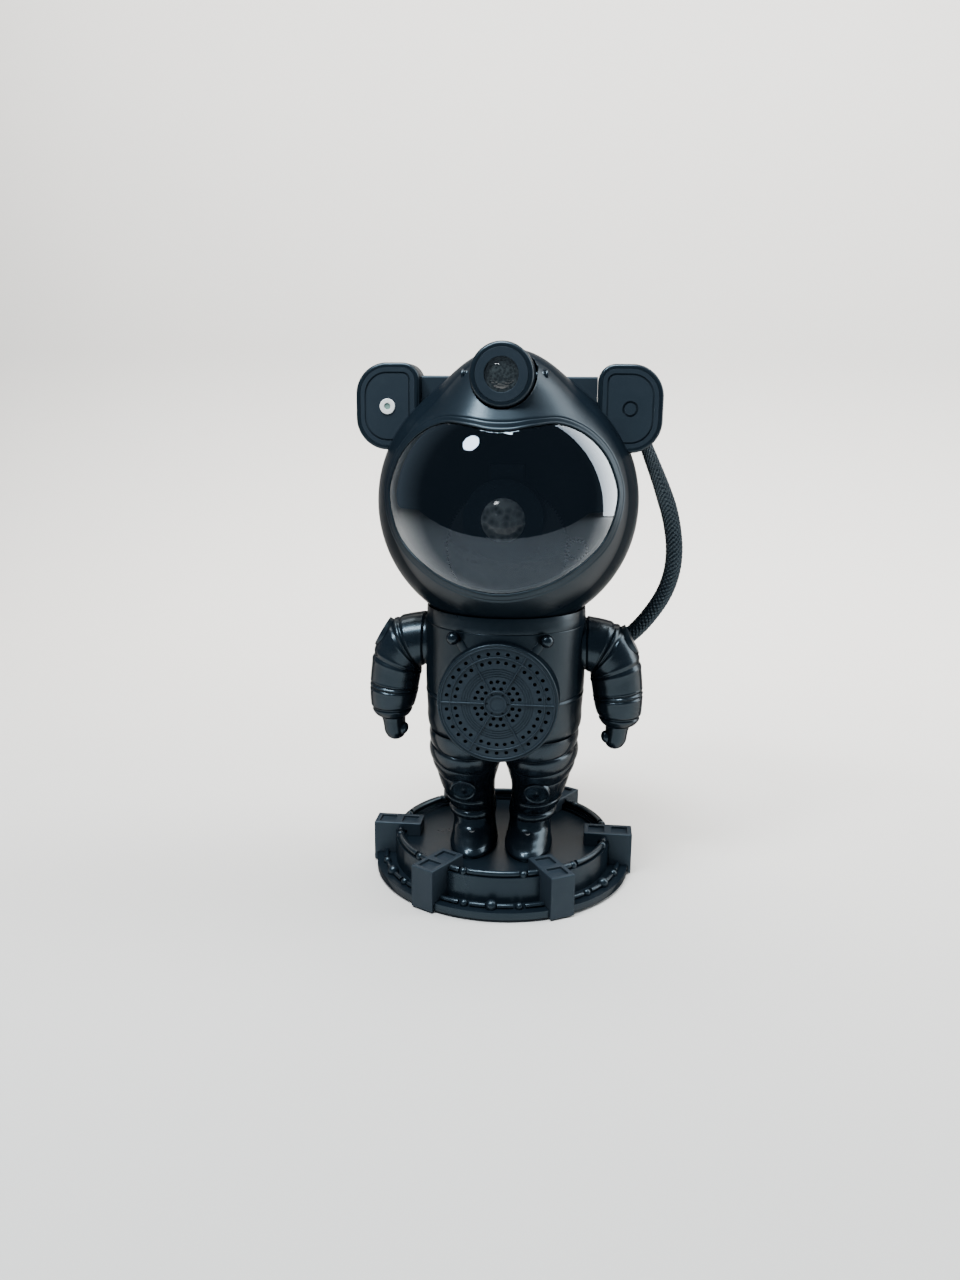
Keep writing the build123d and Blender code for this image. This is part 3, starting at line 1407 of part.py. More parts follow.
def build():
    power_place, mode_place = button_places()
    front_shell, rear_shell = torso_halves()
    leg = right_leg()
    arm = right_arm()
    patch = right_arm_patch(arm)
    pin = right_shoulder_pin()
    ear = right_ear_housing()
    return {
        "base_platform": base_platform(),
        "base_clamp_blocks": base_clamp_blocks(),
        "base_pipe_upper": base_pipe_upper(),
        "base_pipe_lower": base_pipe_lower(),
        "base_bolts_small": base_bolts_small(),
        "base_bolts_large": base_bolts_large(),
        "base_bottom_cover": base_bottom_cover(),
        "base_foot_pad": base_foot_pad(),
        "base_screws": base_screws(),
        "left_leg": mirrored(leg),
        "right_leg": leg,
        "torso_front": front_shell,
        "torso_rear": rear_shell,
        "torso_screws": torso_screws(),
        "chest_studs": chest_studs(),
        "speaker_grille": speaker_grille(),
        "speaker_frame": speaker_frame(),
        "speaker_cone": speaker_cone(),
        "neck_collar": neck_collar(),
        "neck_cup": neck_cup(),
        "neck_magnet": neck_magnet(),
        "left_arm": mirrored(arm),
        "right_arm": arm,
        "left_arm_patch": mirrored(patch),
        "right_arm_patch": patch,
        "left_shoulder_pin": mirrored(pin),
        "right_shoulder_pin": pin,
        "backpack_shell": backpack_shell(),
        "control_board": control_board(),
        "power_button": button(power_place),
        "mode_button": button(mode_place),
        "usb_socket": usb_socket(),
        "hose_gland_lower": hose_gland_lower(),
        "helmet_front": helmet_front(),
        "helmet_rear": helmet_rear(),
        "helmet_screws": helmet_screws(),
        "visor": visor(),
        "head_plate": head_plate(),
        "left_ear_housing": mirrored(ear),
        "right_ear_housing": ear,
        "left_ear_face": left_ear_face(),
        "right_ear_face": right_ear_face(),
        "indicator_ring": indicator_ring(),
        "indicator_window": indicator_window(),
        "crossbar": crossbar(),
        "hose_gland_upper": hose_gland_upper(),
        "star_barrel": star_barrel(),
        "star_bezel": star_bezel(),
        "star_lens": star_lens(),
        "star_laser": star_laser(),
        "nebula_barrel": nebula_barrel(),
        "nebula_lens": nebula_lens(),
        "nebula_disc": nebula_disc(),
        "nebula_pinion": nebula_pinion(),
        "nebula_motor": nebula_motor(),
        "optics_frame": optics_frame(),
        "led_board": led_board(),
        "heat_sink": heat_sink(),
        "hose": hose(),
    }


os.makedirs("parts", exist_ok=True)
for name, shape in build().items():
    export_step(shape, f"parts/{name}.step")
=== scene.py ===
import json
from math import cos, pi, radians, sin, sqrt

import bpy
import numpy as np
from mathutils import Matrix, Vector


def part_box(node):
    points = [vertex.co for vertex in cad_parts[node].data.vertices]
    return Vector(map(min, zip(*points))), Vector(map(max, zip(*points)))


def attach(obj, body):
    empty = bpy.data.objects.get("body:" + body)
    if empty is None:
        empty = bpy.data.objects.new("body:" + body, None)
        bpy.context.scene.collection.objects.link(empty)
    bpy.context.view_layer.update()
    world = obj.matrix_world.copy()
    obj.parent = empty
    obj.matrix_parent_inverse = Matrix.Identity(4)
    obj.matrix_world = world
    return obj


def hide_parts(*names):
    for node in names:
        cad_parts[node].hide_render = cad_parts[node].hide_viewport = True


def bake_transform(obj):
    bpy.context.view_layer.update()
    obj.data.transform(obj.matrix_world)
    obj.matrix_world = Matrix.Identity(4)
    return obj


# Looks of the astronaut-shaped star projector. Lengths are millimetres until they enter a mesh.

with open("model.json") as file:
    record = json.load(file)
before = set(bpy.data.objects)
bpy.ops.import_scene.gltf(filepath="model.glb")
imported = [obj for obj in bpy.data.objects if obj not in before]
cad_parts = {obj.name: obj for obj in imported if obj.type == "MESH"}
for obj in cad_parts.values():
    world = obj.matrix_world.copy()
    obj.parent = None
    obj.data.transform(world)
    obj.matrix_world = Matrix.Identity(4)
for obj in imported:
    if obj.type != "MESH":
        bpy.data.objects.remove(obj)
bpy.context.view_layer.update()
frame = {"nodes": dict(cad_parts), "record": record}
nodes = frame["nodes"]
MM = 0.001


def span(node):
    """Lowest and highest corner of a CAD node, in millimetres."""
    low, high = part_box(node)
    return np.array(low) / MM, np.array(high) / MM


def centre(node):
    low, high = span(node)
    return (low + high) / 2


# -------- places taken from the frame

STAR_PIVOT_BACK = 16.5  # from the star bezel's face
STAR_SLOT_GAP = 0.7
GRILLE_RIM = 0.6  # how far the speaker plate's rim stands out of its face

helmet_rear_low, helmet_rear_high = span("helmet_rear")
HELMET_R = helmet_rear_high[1]
head_z = helmet_rear_low[2] + HELMET_R
crest_top = span("helmet_front")[1][2]
seam_z = span("torso_rear")[1][2]
shoulder_z = centre("right_shoulder_pin")[2]
grille_low, grille_high = span("speaker_grille")
grille_z = (grille_low[2] + grille_high[2]) / 2
grille_r = (grille_high[0] - grille_low[0]) / 2
grille_face_y = grille_low[1] + GRILLE_RIM
star_low, star_high = span("star_bezel")
star_z = (star_low[2] + star_high[2]) / 2
star_pivot_y = star_low[1] + STAR_PIVOT_BACK
star_slot_r = (span("star_barrel")[1][2] - star_z) + STAR_SLOT_GAP

# -------- named sizes

SHOULDER_X = 36.2
CREST_R = 24.7
CREST_CENTRE = np.array([0.0, -14.0, crest_top - CREST_R - head_z])  # from the helmet's centre
CREST_BLEND = 10.5
HELMET_COLUMNS = 720
POLE_SHARE = 0.9999  # of the way from the visor's edge to the rear pole, where the skin closes
SPLIT_Y = 8.0
SEAM_HALF = 0.28
PIN_CAP_START = 13.4
PIN_CAP_END = 17.0
PIN_CAP_R = 2.5
PIN_CAP_NECK_R = 2.2
PIN_CAP_EDGE_R = 0.5
LINER_GAP = 0.02
LINER_DEPTH = 0.04  # below the helmet's skin
LINER_RISE = 13.0
LINER_FRONT = -60.0  # in front of the helmet, where the search for its skin starts
CUTTER_REACH = 90.0
CUTTER_RISE = 40.0
CASE_SCREW_R = 2.6
CASE_SCREW_ROOM = 0.15
CASE_SCREW_SINK = 2.5  # the wells' depth behind the screw heads' faces

# right half of the visor opening, bottom to top: x, height from the helmet's centre
VISOR_OUTLINE = [
    (0.0, -33.0),
    (14.0, -30.6),
    (27.7, -24.3),
    (40.9, -12.3),
    (46.2, 4.0),
    (43.7, 15.8),
    (38.7, 24.2),
    (31.2, 30.4),
    (22.2, 33.4),
    (12.5, 32.4),
    (4.9, 31.0),
    (0.0, 30.7),
]
RIM_BAND = 3.1
RIM_DEPTH = 0.75
RIM_CREASE = 0.22
LIP_WIDTH = 0.7
LIP_RISE = 0.25
# distances from the visor's edge at which the rim's form needs a row of points
RIM_STEPS = [
    *(0, 0.12, 0.25, 0.4, 0.55, 0.7, 0.9, 1.2, 1.6, 2.0),
    *(2.4, 2.7, 2.9, 3.05, 3.2, 3.4, 3.7, 4.2, 5.0),
]
VISOR_R = HELMET_R - 0.8
VISOR_GAP = 0.35
VISOR_T = 1.8
VISOR_COLUMNS = 360
# the visor's turned edge: how far out, how far in
VISOR_TURN = [(0.02, 0.06), (0.05, 0.22), (0.05, VISOR_T)]

# the right leg's stations: height, centre x, centre y, half width and half depth
LEG_STATIONS = [
    (13.0, 12.3, -6.3, 10.2, 20.6),
    (14.4, 12.3, -6.3, 10.6, 21.0),
    (16.4, 12.3, -5.8, 10.2, 20.2),
    (19.2, 12.4, -4.2, 9.7, 17.4),
    (23.3, 12.6, -1.8, 9.3, 13.6),
    (27.4, 13.0, -0.6, 10.0, 13.0),
    (30.5, 13.4, -0.2, 10.0, 13.4),
    (35.7, 15.1, 0.0, 11.2, 15.6),
    (40.8, 15.9, 0.0, 12.2, 17.6),
    (47.0, 16.1, 0.0, 14.0, 21.0),
    (52.1, 16.2, 0.0, 15.5, 24.0),
    (58.3, 16.2, 0.0, 15.8, 26.4),
    (64.5, 16.1, 0.0, 15.7, 27.6),
    (67.5, 16.1, 0.0, 15.3, 28.0),
]
# leg folds: height of the valley on the leg's axis, depth of the puff below it
LEG_FOLDS = [
    (68.5, 1.2),
    (58.4, 1.5),
    (50.6, 1.3),
    (44.6, 0.5),
    (34.6, 0.5),
    (29.6, 1.15),
    (26.0, 1.2),
    (22.3, 0.15),
    (13.0, 0.0),
]
LEG_INNER_X = 0.12
SOLE_INSET = 0.97
SOLE_EDGE = 0.35
LEG_FOLD_SLOPE = 0.14  # rise of a fold toward the outside, per mm across
KNEE_DISC_R = 5.7
KNEE_DISC = (16.0, -19.6, 41.4)
KNEE_DISC_FACES = (0.0, -1.0, -0.45)
# the disc's rim, groove and face: how far in from its edge, height
KNEE_DISC_STEPS = [
    *((0.0, -6.0), (0.0, -0.5), (0.15, -0.15), (0.4, 0.0), (0.75, 0.0)),
    *((0.95, -0.4), (1.3, -0.45), (1.45, -0.4), (1.7, -0.38), (3.0, -0.34)),
]

# the right arm's stations: centre x from the shoulder plane, centre z from the shoulder, slope in
# degrees, half width and half depth
ARM_STATIONS = [
    (-1.0, 0.3, 0, 11.6, 11.8),
    (0.0, 0.0, 0, 12.1, 12.3),
    (6.3, -1.6, 25, 12.0, 12.2),
    (10.4, -6.2, 52, 11.2, 11.7),
    (12.2, -12.6, 72, 10.9, 11.3),
    (13.2, -19.8, 83, 10.6, 10.9),
    (13.9, -27.2, 88, 9.9, 10.3),
    (14.4, -33.2, 90, 8.7, 9.2),
    (14.3, -35.2, 90, 7.4, 7.9),
    (14.0, -36.4, 90, 5.5, 6.4),
    (13.6, -39.0, 90, 5.0, 6.2),
    (13.2, -42.6, 90, 4.9, 6.1),
    (13.0, -45.2, 90, 3.9, 5.0),
    (12.9, -46.6, 90, 2.2, 3.0),
    (12.9, -47.0, 90, 0.3, 0.4),
]
# grooves along the arm: place on its line, width, depth and slant
ARM_GROOVES = [
    (7.4, 0.5, 0.42, 0.0),
    (9.4, 0.5, 0.42, 0.0),
    (18.4, 0.75, 0.42, -0.05),
    (29.0, 0.45, 0.4, 0.02),
    (30.8, 0.45, 0.4, 0.02),
    (39.6, 0.6, 0.45, 0.0),
]
GROOVE_LIPS = 0.3  # height of a groove's edges, as a share of its depth
# gentle swells between them: place, half length and height
ARM_SWELLS = [(15.0, 6.0, 0.45), (24.5, 6.0, 0.35), (34.5, 4.5, 0.45)]
THUMB = (8.9, -2.6, -41.2)
THUMB_R = 2.1
THUMB_LONG = 1.35  # half its length, in radii
SHOULDER_ROOT = 5.5
SHOULDER_ROOT_R = 11.5

# the torso's profile: height, radius
TORSO_ROWS = [(64.5, 33.4), (92.3, 34.9), (115.0, 34.7)]
TORSO_WALL = 1.6
TORSO_COLUMNS = 900
HEM_Z = 67.2
HEM_DIP = 3.8
# the turned hem: how far in, how far below the hem's line
HEM_TURN = [(4.0, 1.0), (2.2, 0.3), (1.1, -0.25), (0.45, -0.9), (0.12, -1.6), (0.0, -2.4)]
# the torso's upper edge: how far below the seam, how far in
COLLAR_TURN = [(0.1, 0.15), (0.05, 0.7), (0.3, TORSO_WALL), (4.0, TORSO_WALL + 0.1)]
BELLY_SEAM_Z = 84.0
BELLY_SEAM_RISE = 0.8  # toward the sides
BELLY_SEAM_DEPTH = 0.32
BELLY_SEAM_HALF = 0.38
BELLY_RIDGE = 0.22
BELLY_RIDGE_DROP = 1.1  # below the seam
BELLY_RIDGE_HALF = 0.55
WAIST_Z = 71.5
WAIST_SWELL = 0.35
WAIST_HALF = 3.0
STRAP_W = 3.6
STRAP_RISE = 0.45
STRAP_START = 2.0  # from the stud's middle
STRAP_END = 0.8  # from the speaker plate's edge
STUD_X = 18.0
STUD_DROP = 2.6
STUD_R = 2.75
STUD_NECK_R = 1.7
STUD_STANDS = 2.3

BEZEL_OUT = 1.5  # from the speaker plate's edge
BEZEL_GAP = 0.08
BEZEL_STEP = 0.35  # behind the plate's rim
BEZEL_ROOT = 14.0
# raised rings on the speaker plate: name, radius, width, rise
GRILLE_RINGS = [
    ("grille_rim_ring", 23.4, 0.7, 0.5),
    ("grille_mid_ring", 19.4, 0.7, 0.48),
    ("grille_hub_ring", 5.3, 0.7, 0.48),
]
SPOKES = 6
SPOKE_START = 5.4
SPOKE_END = 23.4
SPOKE_W = 0.7
SPOKE_ROWS = 24

HOSE_ROUTE = [
    (56.4, 8.0, 191.5),
    (60.6, 11.2, 182.3),
    (65.8, 15.6, 170.5),
    (70.8, 20.4, 157.0),
    (73.4, 23.4, 140.0),
    (70.6, 26.6, 124.5),
    (62.6, 30.0, 110.5),
    (54.0, 32.6, 100.6),
    (43.8, 34.4, 94.4),
    (31.0, 34.5, 93.0),
]
HOSE_WIDTH = 7.0
HOSE_THICK = 3.2
HOSE_TOP_WIDTH = 4.8
HOSE_TOP_THICKER = 0.5
HOSE_TOP_PART = 12.5  # length of the upper piece, from the hose's upper end
HOSE_NARROW_END = 30.0  # where the braid reaches its full width, from the upper end
HOSE_TWIST = 48.0
HOSE_TWIST_END = 42.0
BRAID_STRANDS = 6
BRAID_PITCH = 4.4
BRAID_RELIEF = 0.5
BRAID_SINK = 0.2  # of the strands' ground under the cord's form


# -------- mesh helpers


def mesh_object(name, points, faces, material, body):
    """Smooth-shaded object from points in millimetres."""
    mesh = bpy.data.meshes.new(name)
    points = [tuple(p * MM for p in point) for point in np.asarray(points, float)]
    mesh.from_pydata(points, [], faces)
    mesh.validate()
    mesh.update()
    mesh.polygons.foreach_set("use_smooth", [True] * len(mesh.polygons))
    obj = bpy.data.objects.new(name, mesh)
    bpy.context.scene.collection.objects.link(obj)
    mesh.materials.append(material)
    if body:
        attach(obj, body)
    return obj


def grid_faces(rows, columns, closed, offset=0, flip=False):
    faces = []
    last = columns if closed else columns - 1
    for i in range(rows - 1):
        for j in range(last):
            a = offset + i * columns + j
            b = offset + i * columns + (j + 1) % columns
            c = b + columns
            d = a + columns
            faces.append((a, d, c, b) if flip else (a, b, c, d))
    return faces


def tube_object(name, rings, material, body, caps=(True, True), flip=False):
    """Closed rings of points, joined in order and capped at the chosen ends."""
    rings = np.asarray(rings, float)
    rows, columns = rings.shape[:2]
    points = list(rings.reshape(-1, 3))
    faces = grid_faces(rows, columns, True, flip=flip)
    for wanted, row, turned in ((caps[0], 0, False), (caps[1], rows - 1, True)):
        if not wanted:
            continue
        points.append(rings[row].mean(0))
        middle = len(points) - 1
        for j in range(columns):
            a = row * columns + j
            b = row * columns + (j + 1) % columns
            faces.append((a, middle, b) if turned != flip else (b, middle, a))
    return mesh_object(name, points, faces, material, body)


def smooth_table(rows, at):
    """Values of a table's columns at the given keys, by monotone cubic interpolation."""
    table = np.asarray(rows, float)
    x, y = table[:, 0], table[:, 1:]
    h = np.diff(x)[:, None]
    d = np.diff(y, axis=0) / h
    m = np.zeros_like(y)
    same = d[:-1] * d[1:] > 0
    with np.errstate(divide="ignore", invalid="ignore"):
        m[1:-1] = np.where(same, 2 * d[:-1] * d[1:] / (d[:-1] + d[1:]), 0.0)
    m[0], m[-1] = d[0], d[-1]
    at = np.clip(at, x[0], x[-1])
    k = np.clip(np.searchsorted(x, at, side="right") - 1, 0, len(x) - 2)
    t = ((at - x[k]) / h[k, 0])[:, None]
    step = h[k]
    h00 = 2 * t**3 - 3 * t**2 + 1
    h10 = t**3 - 2 * t**2 + t
    h01 = -2 * t**3 + 3 * t**2
    h11 = t**3 - t**2
    return h00 * y[k] + h10 * step * m[k] + h01 * y[k + 1] + h11 * step * m[k + 1]


def puffs(s, folds):
    """Height of the puffed cloth at each place s; folds are (place, height of the next puff)."""
    marks = sorted(folds)
    places = np.array([m[0] for m in marks])
    heights = np.array([m[1] for m in marks])
    k = np.clip(np.searchsorted(places, s, side="right") - 1, 0, len(places) - 2)
    t = np.clip((s - places[k]) / (places[k + 1] - places[k]), 0, 1)
    return heights[k] * (4 * t * (1 - t)) ** 0.55


def unit(v):
    v = np.asarray(v, float)
    return v / np.linalg.norm(v, axis=-1, keepdims=True)


# -------- materials

EDGE_GLOSS = 0.006  # share of a plastic's reflection that is left where it is seen edge-on
EDGE_FACING = (0.2, 0.62)
SHEEN_TINT = (0.62, 0.84, 1.0, 1)
VISOR_DARK = (0.042, 0.053, 0.066)
VISOR_LIGHT = (0.058, 0.07, 0.084)
VISOR_SLANTED = (0.3, 0.32, 0.34, 1)
VISOR_FACING = (0.27, 0.48)
VISOR_ALPHA = (0.56, 0.62)


def new_material(name):
    material = bpy.data.materials.new(name)
    material.use_nodes = True
    tree = material.node_tree
    shader = tree.nodes["Principled BSDF"]
    return material, tree, shader


def object_coords(tree):
    return tree.nodes.new("ShaderNodeTexCoord").outputs["Object"]


def noise(tree, scale, detail=4.0, roughness=0.55, vector=None):
    node = tree.nodes.new("ShaderNodeTexNoise")
    node.inputs["Scale"].default_value = scale
    node.inputs["Detail"].default_value = detail
    node.inputs["Roughness"].default_value = roughness
    if vector is None:
        vector = object_coords(tree)
    tree.links.new(vector, node.inputs["Vector"])
    return node.outputs["Fac"]


def ramp(tree, value, low, high, out_low, out_high):
    node = tree.nodes.new("ShaderNodeMapRange")
    node.inputs["From Min"].default_value = low
    node.inputs["From Max"].default_value = high
    node.inputs["To Min"].default_value = out_low
    node.inputs["To Max"].default_value = out_high
    tree.links.new(value, node.inputs["Value"])
    return node.outputs["Result"]


def tint(tree, factor, dark, light):
    node = tree.nodes.new("ShaderNodeMix")
    node.data_type = "RGBA"
    node.inputs["A"].default_value = (*dark, 1)
    node.inputs["B"].default_value = (*light, 1)
    tree.links.new(factor, node.inputs["Factor"])
    return node.outputs["Result"]


def bump(tree, shader, height, strength, distance, base=None):
    node = tree.nodes.new("ShaderNodeBump")
    node.inputs["Strength"].default_value = strength
    node.inputs["Distance"].default_value = distance
    tree.links.new(height, node.inputs["Height"])
    if base is not None:
        tree.links.new(base, node.inputs["Normal"])
    tree.links.new(node.outputs["Normal"], shader.inputs["Normal"])
    return node.outputs["Normal"]


def facing(tree):
    """0 where a surface faces the viewer, 1 at its outline."""
    weight = tree.nodes.new("ShaderNodeLayerWeight")
    weight.inputs["Blend"].default_value = 0.5
    return weight.outputs["Facing"]


def facing_gloss(tree, shader, gloss):
    """Reflection that is weaker where a fine spark-eroded texture is seen edge-on."""
    level = ramp(tree, facing(tree), *EDGE_FACING, gloss, gloss * EDGE_GLOSS)
    tree.links.new(level, shader.inputs["Specular IOR Level"])
    shader.inputs["Specular Tint"].default_value = SHEEN_TINT


def moulded(name, dark, light, rough, grain, gloss=0.6):
    """Injection-moulded plastic: slight mottling, smudges and a fine spark-eroded grain."""
    material, tree, shader = new_material(name)
    links = tree.links
    mottle = noise(tree, 90, 3)
    links.new(tint(tree, mottle, dark, light), shader.inputs["Base Color"])
    smudge = noise(tree, 38, 5, 0.62)
    links.new(ramp(tree, smudge, 0.32, 0.7, *rough), shader.inputs["Roughness"])
    facing_gloss(tree, shader, gloss)
    soft = bump(tree, shader, noise(tree, 130, 2), 0.08, 0.0002)
    bump(tree, shader, noise(tree, 3800, 2), grain, 0.00006, soft)
    return material


def metal(name, dark, light, rough):
    material, tree, shader = new_material(name)
    links = tree.links
    links.new(tint(tree, noise(tree, 150, 4), dark, light), shader.inputs["Base Color"])
    shader.inputs["Metallic"].default_value = 1.0
    links.new(ramp(tree, noise(tree, 900, 4), 0.3, 0.7, *rough), shader.inputs["Roughness"])
    bump(tree, shader, noise(tree, 2400, 3), 0.15, 0.00005)
    return material


def smoked_mirror():
    """Half-mirrored smoked polycarbonate with faint dust and wiping marks."""
    material, tree, shader = new_material("smoked_visor")
    links = tree.links
    coords = object_coords(tree)
    slanted = tree.nodes.new("ShaderNodeMix")
    slanted.data_type = "RGBA"
    slanted.inputs["B"].default_value = VISOR_SLANTED
    film = tint(tree, noise(tree, 26, 3, vector=coords), VISOR_DARK, VISOR_LIGHT)
    links.new(film, slanted.inputs["A"])
    links.new(ramp(tree, facing(tree), *VISOR_FACING, 0, 1), slanted.inputs["Factor"])
    links.new(slanted.outputs["Result"], shader.inputs["Base Color"])
    shader.inputs["Metallic"].default_value = 1.0
    wiped = noise(tree, 55, 6, 0.7, coords)
    links.new(ramp(tree, wiped, 0.45, 0.85, 0.012, 0.05), shader.inputs["Roughness"])
    smoke = noise(tree, 30, 2, vector=coords)
    links.new(ramp(tree, smoke, 0.3, 0.7, *VISOR_ALPHA), shader.inputs["Alpha"])
    bump(tree, shader, noise(tree, 22, 2, vector=coords), 0.05, 0.0006)
    return material


def lens(name, clear, cloudy, scale):
    """Moulded lens with a faceted, speckled inside."""
    material, tree, shader = new_material(name)
    links = tree.links
    coords = object_coords(tree)
    cells = tree.nodes.new("ShaderNodeTexVoronoi")
    cells.inputs["Scale"].default_value = scale
    links.new(coords, cells.inputs["Vector"])
    mixed = tree.nodes.new("ShaderNodeMath")
    mixed.operation = "MULTIPLY"
    links.new(cells.outputs["Distance"], mixed.inputs[0])
    links.new(noise(tree, scale * 0.5, 6, 0.7, coords), mixed.inputs[1])
    veins = ramp(tree, mixed.outputs[0], 0.05, 0.4, 0, 1)
    links.new(tint(tree, veins, clear, cloudy), shader.inputs["Base Color"])
    shader.inputs["Roughness"].default_value = 0.06
    shader.inputs["Coat Weight"].default_value = 1.0
    shader.inputs["Coat Roughness"].default_value = 0.02
    bump(tree, shader, cells.outputs["Distance"], 0.5, 0.0004)
    return material


def braid_material():
    """Black polyester braid: glossy filaments with paler flecks."""
    material, tree, shader = new_material("braid")
    links = tree.links
    flecks = ramp(tree, noise(tree, 2600, 2, 0.5), 0.55, 0.72, 0, 1)
    colour = tint(tree, flecks, (0.003, 0.0045, 0.0065), (0.022, 0.027, 0.034))
    links.new(colour, shader.inputs["Base Color"])
    links.new(ramp(tree, noise(tree, 1200, 3), 0.3, 0.7, 0.14, 0.36), shader.inputs["Roughness"])
    facing_gloss(tree, shader, 0.55)
    bump(tree, shader, noise(tree, 5200, 2), 0.5, 0.00012)
    return material


def circuit_material():
    """Green solder mask with a pattern of tracks."""
    material, tree, shader = new_material("circuit_board")
    links = tree.links
    tracks = tree.nodes.new("ShaderNodeTexBrick")
    tracks.inputs["Scale"].default_value = 260
    tracks.inputs["Mortar Size"].default_value = 0.03
    links.new(object_coords(tree), tracks.inputs["Vector"])
    mask = tint(tree, tracks.outputs["Fac"], (0.008, 0.05, 0.028), (0.03, 0.15, 0.08))
    links.new(mask, shader.inputs["Base Color"])
    shader.inputs["Roughness"].default_value = 0.35
    bump(tree, shader, tracks.outputs["Fac"], 0.3, 0.0001)
    return material


# plastics: darker and lighter colour, roughness range, strength of the grain, gloss
SATIN = moulded(
    "black_abs", (0.0028, 0.005, 0.0076), (0.0046, 0.0076, 0.011), (0.26, 0.37), 0.16, 0.4
)
GLOSSY = moulded(
    "black_abs_gloss", (0.0024, 0.0044, 0.0068), (0.0042, 0.0068, 0.01), (0.19, 0.29), 0.12, 0.44
)
MATT = moulded(
    "matt_black", (0.0095, 0.0142, 0.0192), (0.014, 0.0196, 0.026), (0.42, 0.54), 0.35, 0.3
)
# painted shade: a darker, duller black for the star slot's walls and the optics frame inside the
# head
SHADE_BLACK = moulded(
    "shadow_black", (0.0015, 0.0018, 0.0022), (0.003, 0.0034, 0.004), (0.5, 0.6), 0.3, 0.2
)
RUBBER = moulded("rubber", (0.006, 0.0065, 0.007), (0.011, 0.0115, 0.0125), (0.6, 0.78), 0.5, 0.25)
WHITE = moulded("white_plastic", (0.72, 0.73, 0.71), (0.82, 0.83, 0.81), (0.2, 0.3), 0.1)
GREY = moulded("grey_window", (0.13, 0.22, 0.19), (0.22, 0.32, 0.28), (0.12, 0.2), 0.08)
CONE = moulded("cone_paper", (0.012, 0.012, 0.012), (0.025, 0.025, 0.025), (0.6, 0.8), 0.9)
STEEL = metal("steel", (0.42, 0.42, 0.43), (0.6, 0.6, 0.6), (0.25, 0.42))
ALUMINIUM = metal("aluminium", (0.6, 0.61, 0.62), (0.75, 0.76, 0.77), (0.3, 0.45))
VISOR = smoked_mirror()
NEBULA_LENS = lens("nebula_glass", (0.045, 0.052, 0.055), (0.22, 0.25, 0.26), 330)
NEBULA_FILM = lens("nebula_film", (0.003, 0.004, 0.007), (0.012, 0.016, 0.026), 330)
STAR_LENS = lens("star_glass", (0.001, 0.0014, 0.0018), (0.022, 0.027, 0.028), 950)
BRAID = braid_material()
CIRCUIT = circuit_material()

BY_SLOT = {
    "black_abs": SATIN,
    "matt_black": MATT,
    "smoked_visor": VISOR,
    "clear_lens": NEBULA_LENS,
    "steel": STEEL,
    "aluminium": ALUMINIUM,
    "rubber": RUBBER,
    "circuit_board": CIRCUIT,
    "braid": BRAID,
    "white_plastic": WHITE,
    "grey_window": GREY,
    "cone_paper": CONE,
}
BY_NODE = {
    "star_lens": STAR_LENS,
    "nebula_disc": NEBULA_FILM,
    "crossbar": MATT,
    "base_clamp_blocks": MATT,
    "star_bezel": MATT,
    "nebula_barrel": GLOSSY,
    # painted shade: the optics frame inside the head gets the darker black
    "optics_frame": SHADE_BLACK,
}

EDGE_ROUND = {
    "base_clamp_blocks": 0.45,
    "base_platform": 0.45,
    "speaker_grille": 0.18,
    "usb_socket": 0.08,
    "nebula_disc": 0.05,
    "nebula_pinion": 0.05,
}
USUAL_EDGE_ROUND = 0.25
EDGE_SEGMENTS = 3
EDGE_ANGLE = 32.0
WELD_DISTANCE = 0.004


def dress_cad():
    """Materials and rounded edges for the CAD nodes that stay."""
    slots = {part["node"]: part["material_slot"] for part in frame["record"]["subparts"]}
    for name, obj in nodes.items():
        obj.data.materials.clear()
        obj.data.materials.append(BY_NODE.get(name, BY_SLOT[slots[name]]))
        weld = obj.modifiers.new("weld", "WELD")
        weld.merge_threshold = WELD_DISTANCE * MM
        bevel = obj.modifiers.new("edges", "BEVEL")
        bevel.width = EDGE_ROUND.get(name, USUAL_EDGE_ROUND) * MM
        bevel.segments = EDGE_SEGMENTS
        bevel.limit_method = "ANGLE"
        bevel.angle_limit = radians(EDGE_ANGLE)
        bevel.harden_normals = False


# -------- helmet

REACH_HALVINGS = 34
PLANE_HALVINGS = 30


def helmet_reach(directions):
    """Distance from the helmet's centre to its skin: a ball blended into the crest's ball."""
    d = np.asarray(directions, float)
    low = np.full(d.shape[:-1], HELMET_R - 4.0)
    high = np.full(d.shape[:-1], HELMET_R + 20.0)
    for _ in range(REACH_HALVINGS):
        middle = (low + high) / 2
        p = d * middle[..., None]
        ball = np.linalg.norm(p, axis=-1) - HELMET_R
        crest = np.linalg.norm(p - CREST_CENTRE, axis=-1) - CREST_R
        h = np.clip(CREST_BLEND - np.abs(ball - crest), 0, None) / CREST_BLEND
        inside = np.minimum(ball, crest) - h * h * CREST_BLEND / 4 < 0
        low = np.where(inside, middle, low)
        high = np.where(inside, high, middle)
    return (low + high) / 2


def periodic_curve(points, count):
    """Closed Catmull-Rom curve through points, sampled evenly by length."""
    p = np.asarray(points, float)
    n = len(p)
    samples = []
    for i in range(n):
        a, b, c, d = p[(i - 1) % n], p[i], p[(i + 1) % n], p[(i + 2) % n]
        t = np.linspace(0, 1, 40, endpoint=False)[:, None]
        square, cube = 2 * a - 5 * b + 4 * c - d, 3 * b - a - 3 * c + d
        samples.append(0.5 * (2 * b + (c - a) * t + square * t**2 + cube * t**3))
    curve = np.vstack(samples)
    closed = np.vstack([curve, curve[:1]])
    length = np.r_[0, np.cumsum(np.linalg.norm(np.diff(closed, axis=0), axis=1))]
    at = np.linspace(0, length[-1], count, endpoint=False)
    return np.stack([np.interp(at, length, closed[:, k]) for k in range(2)], axis=1)


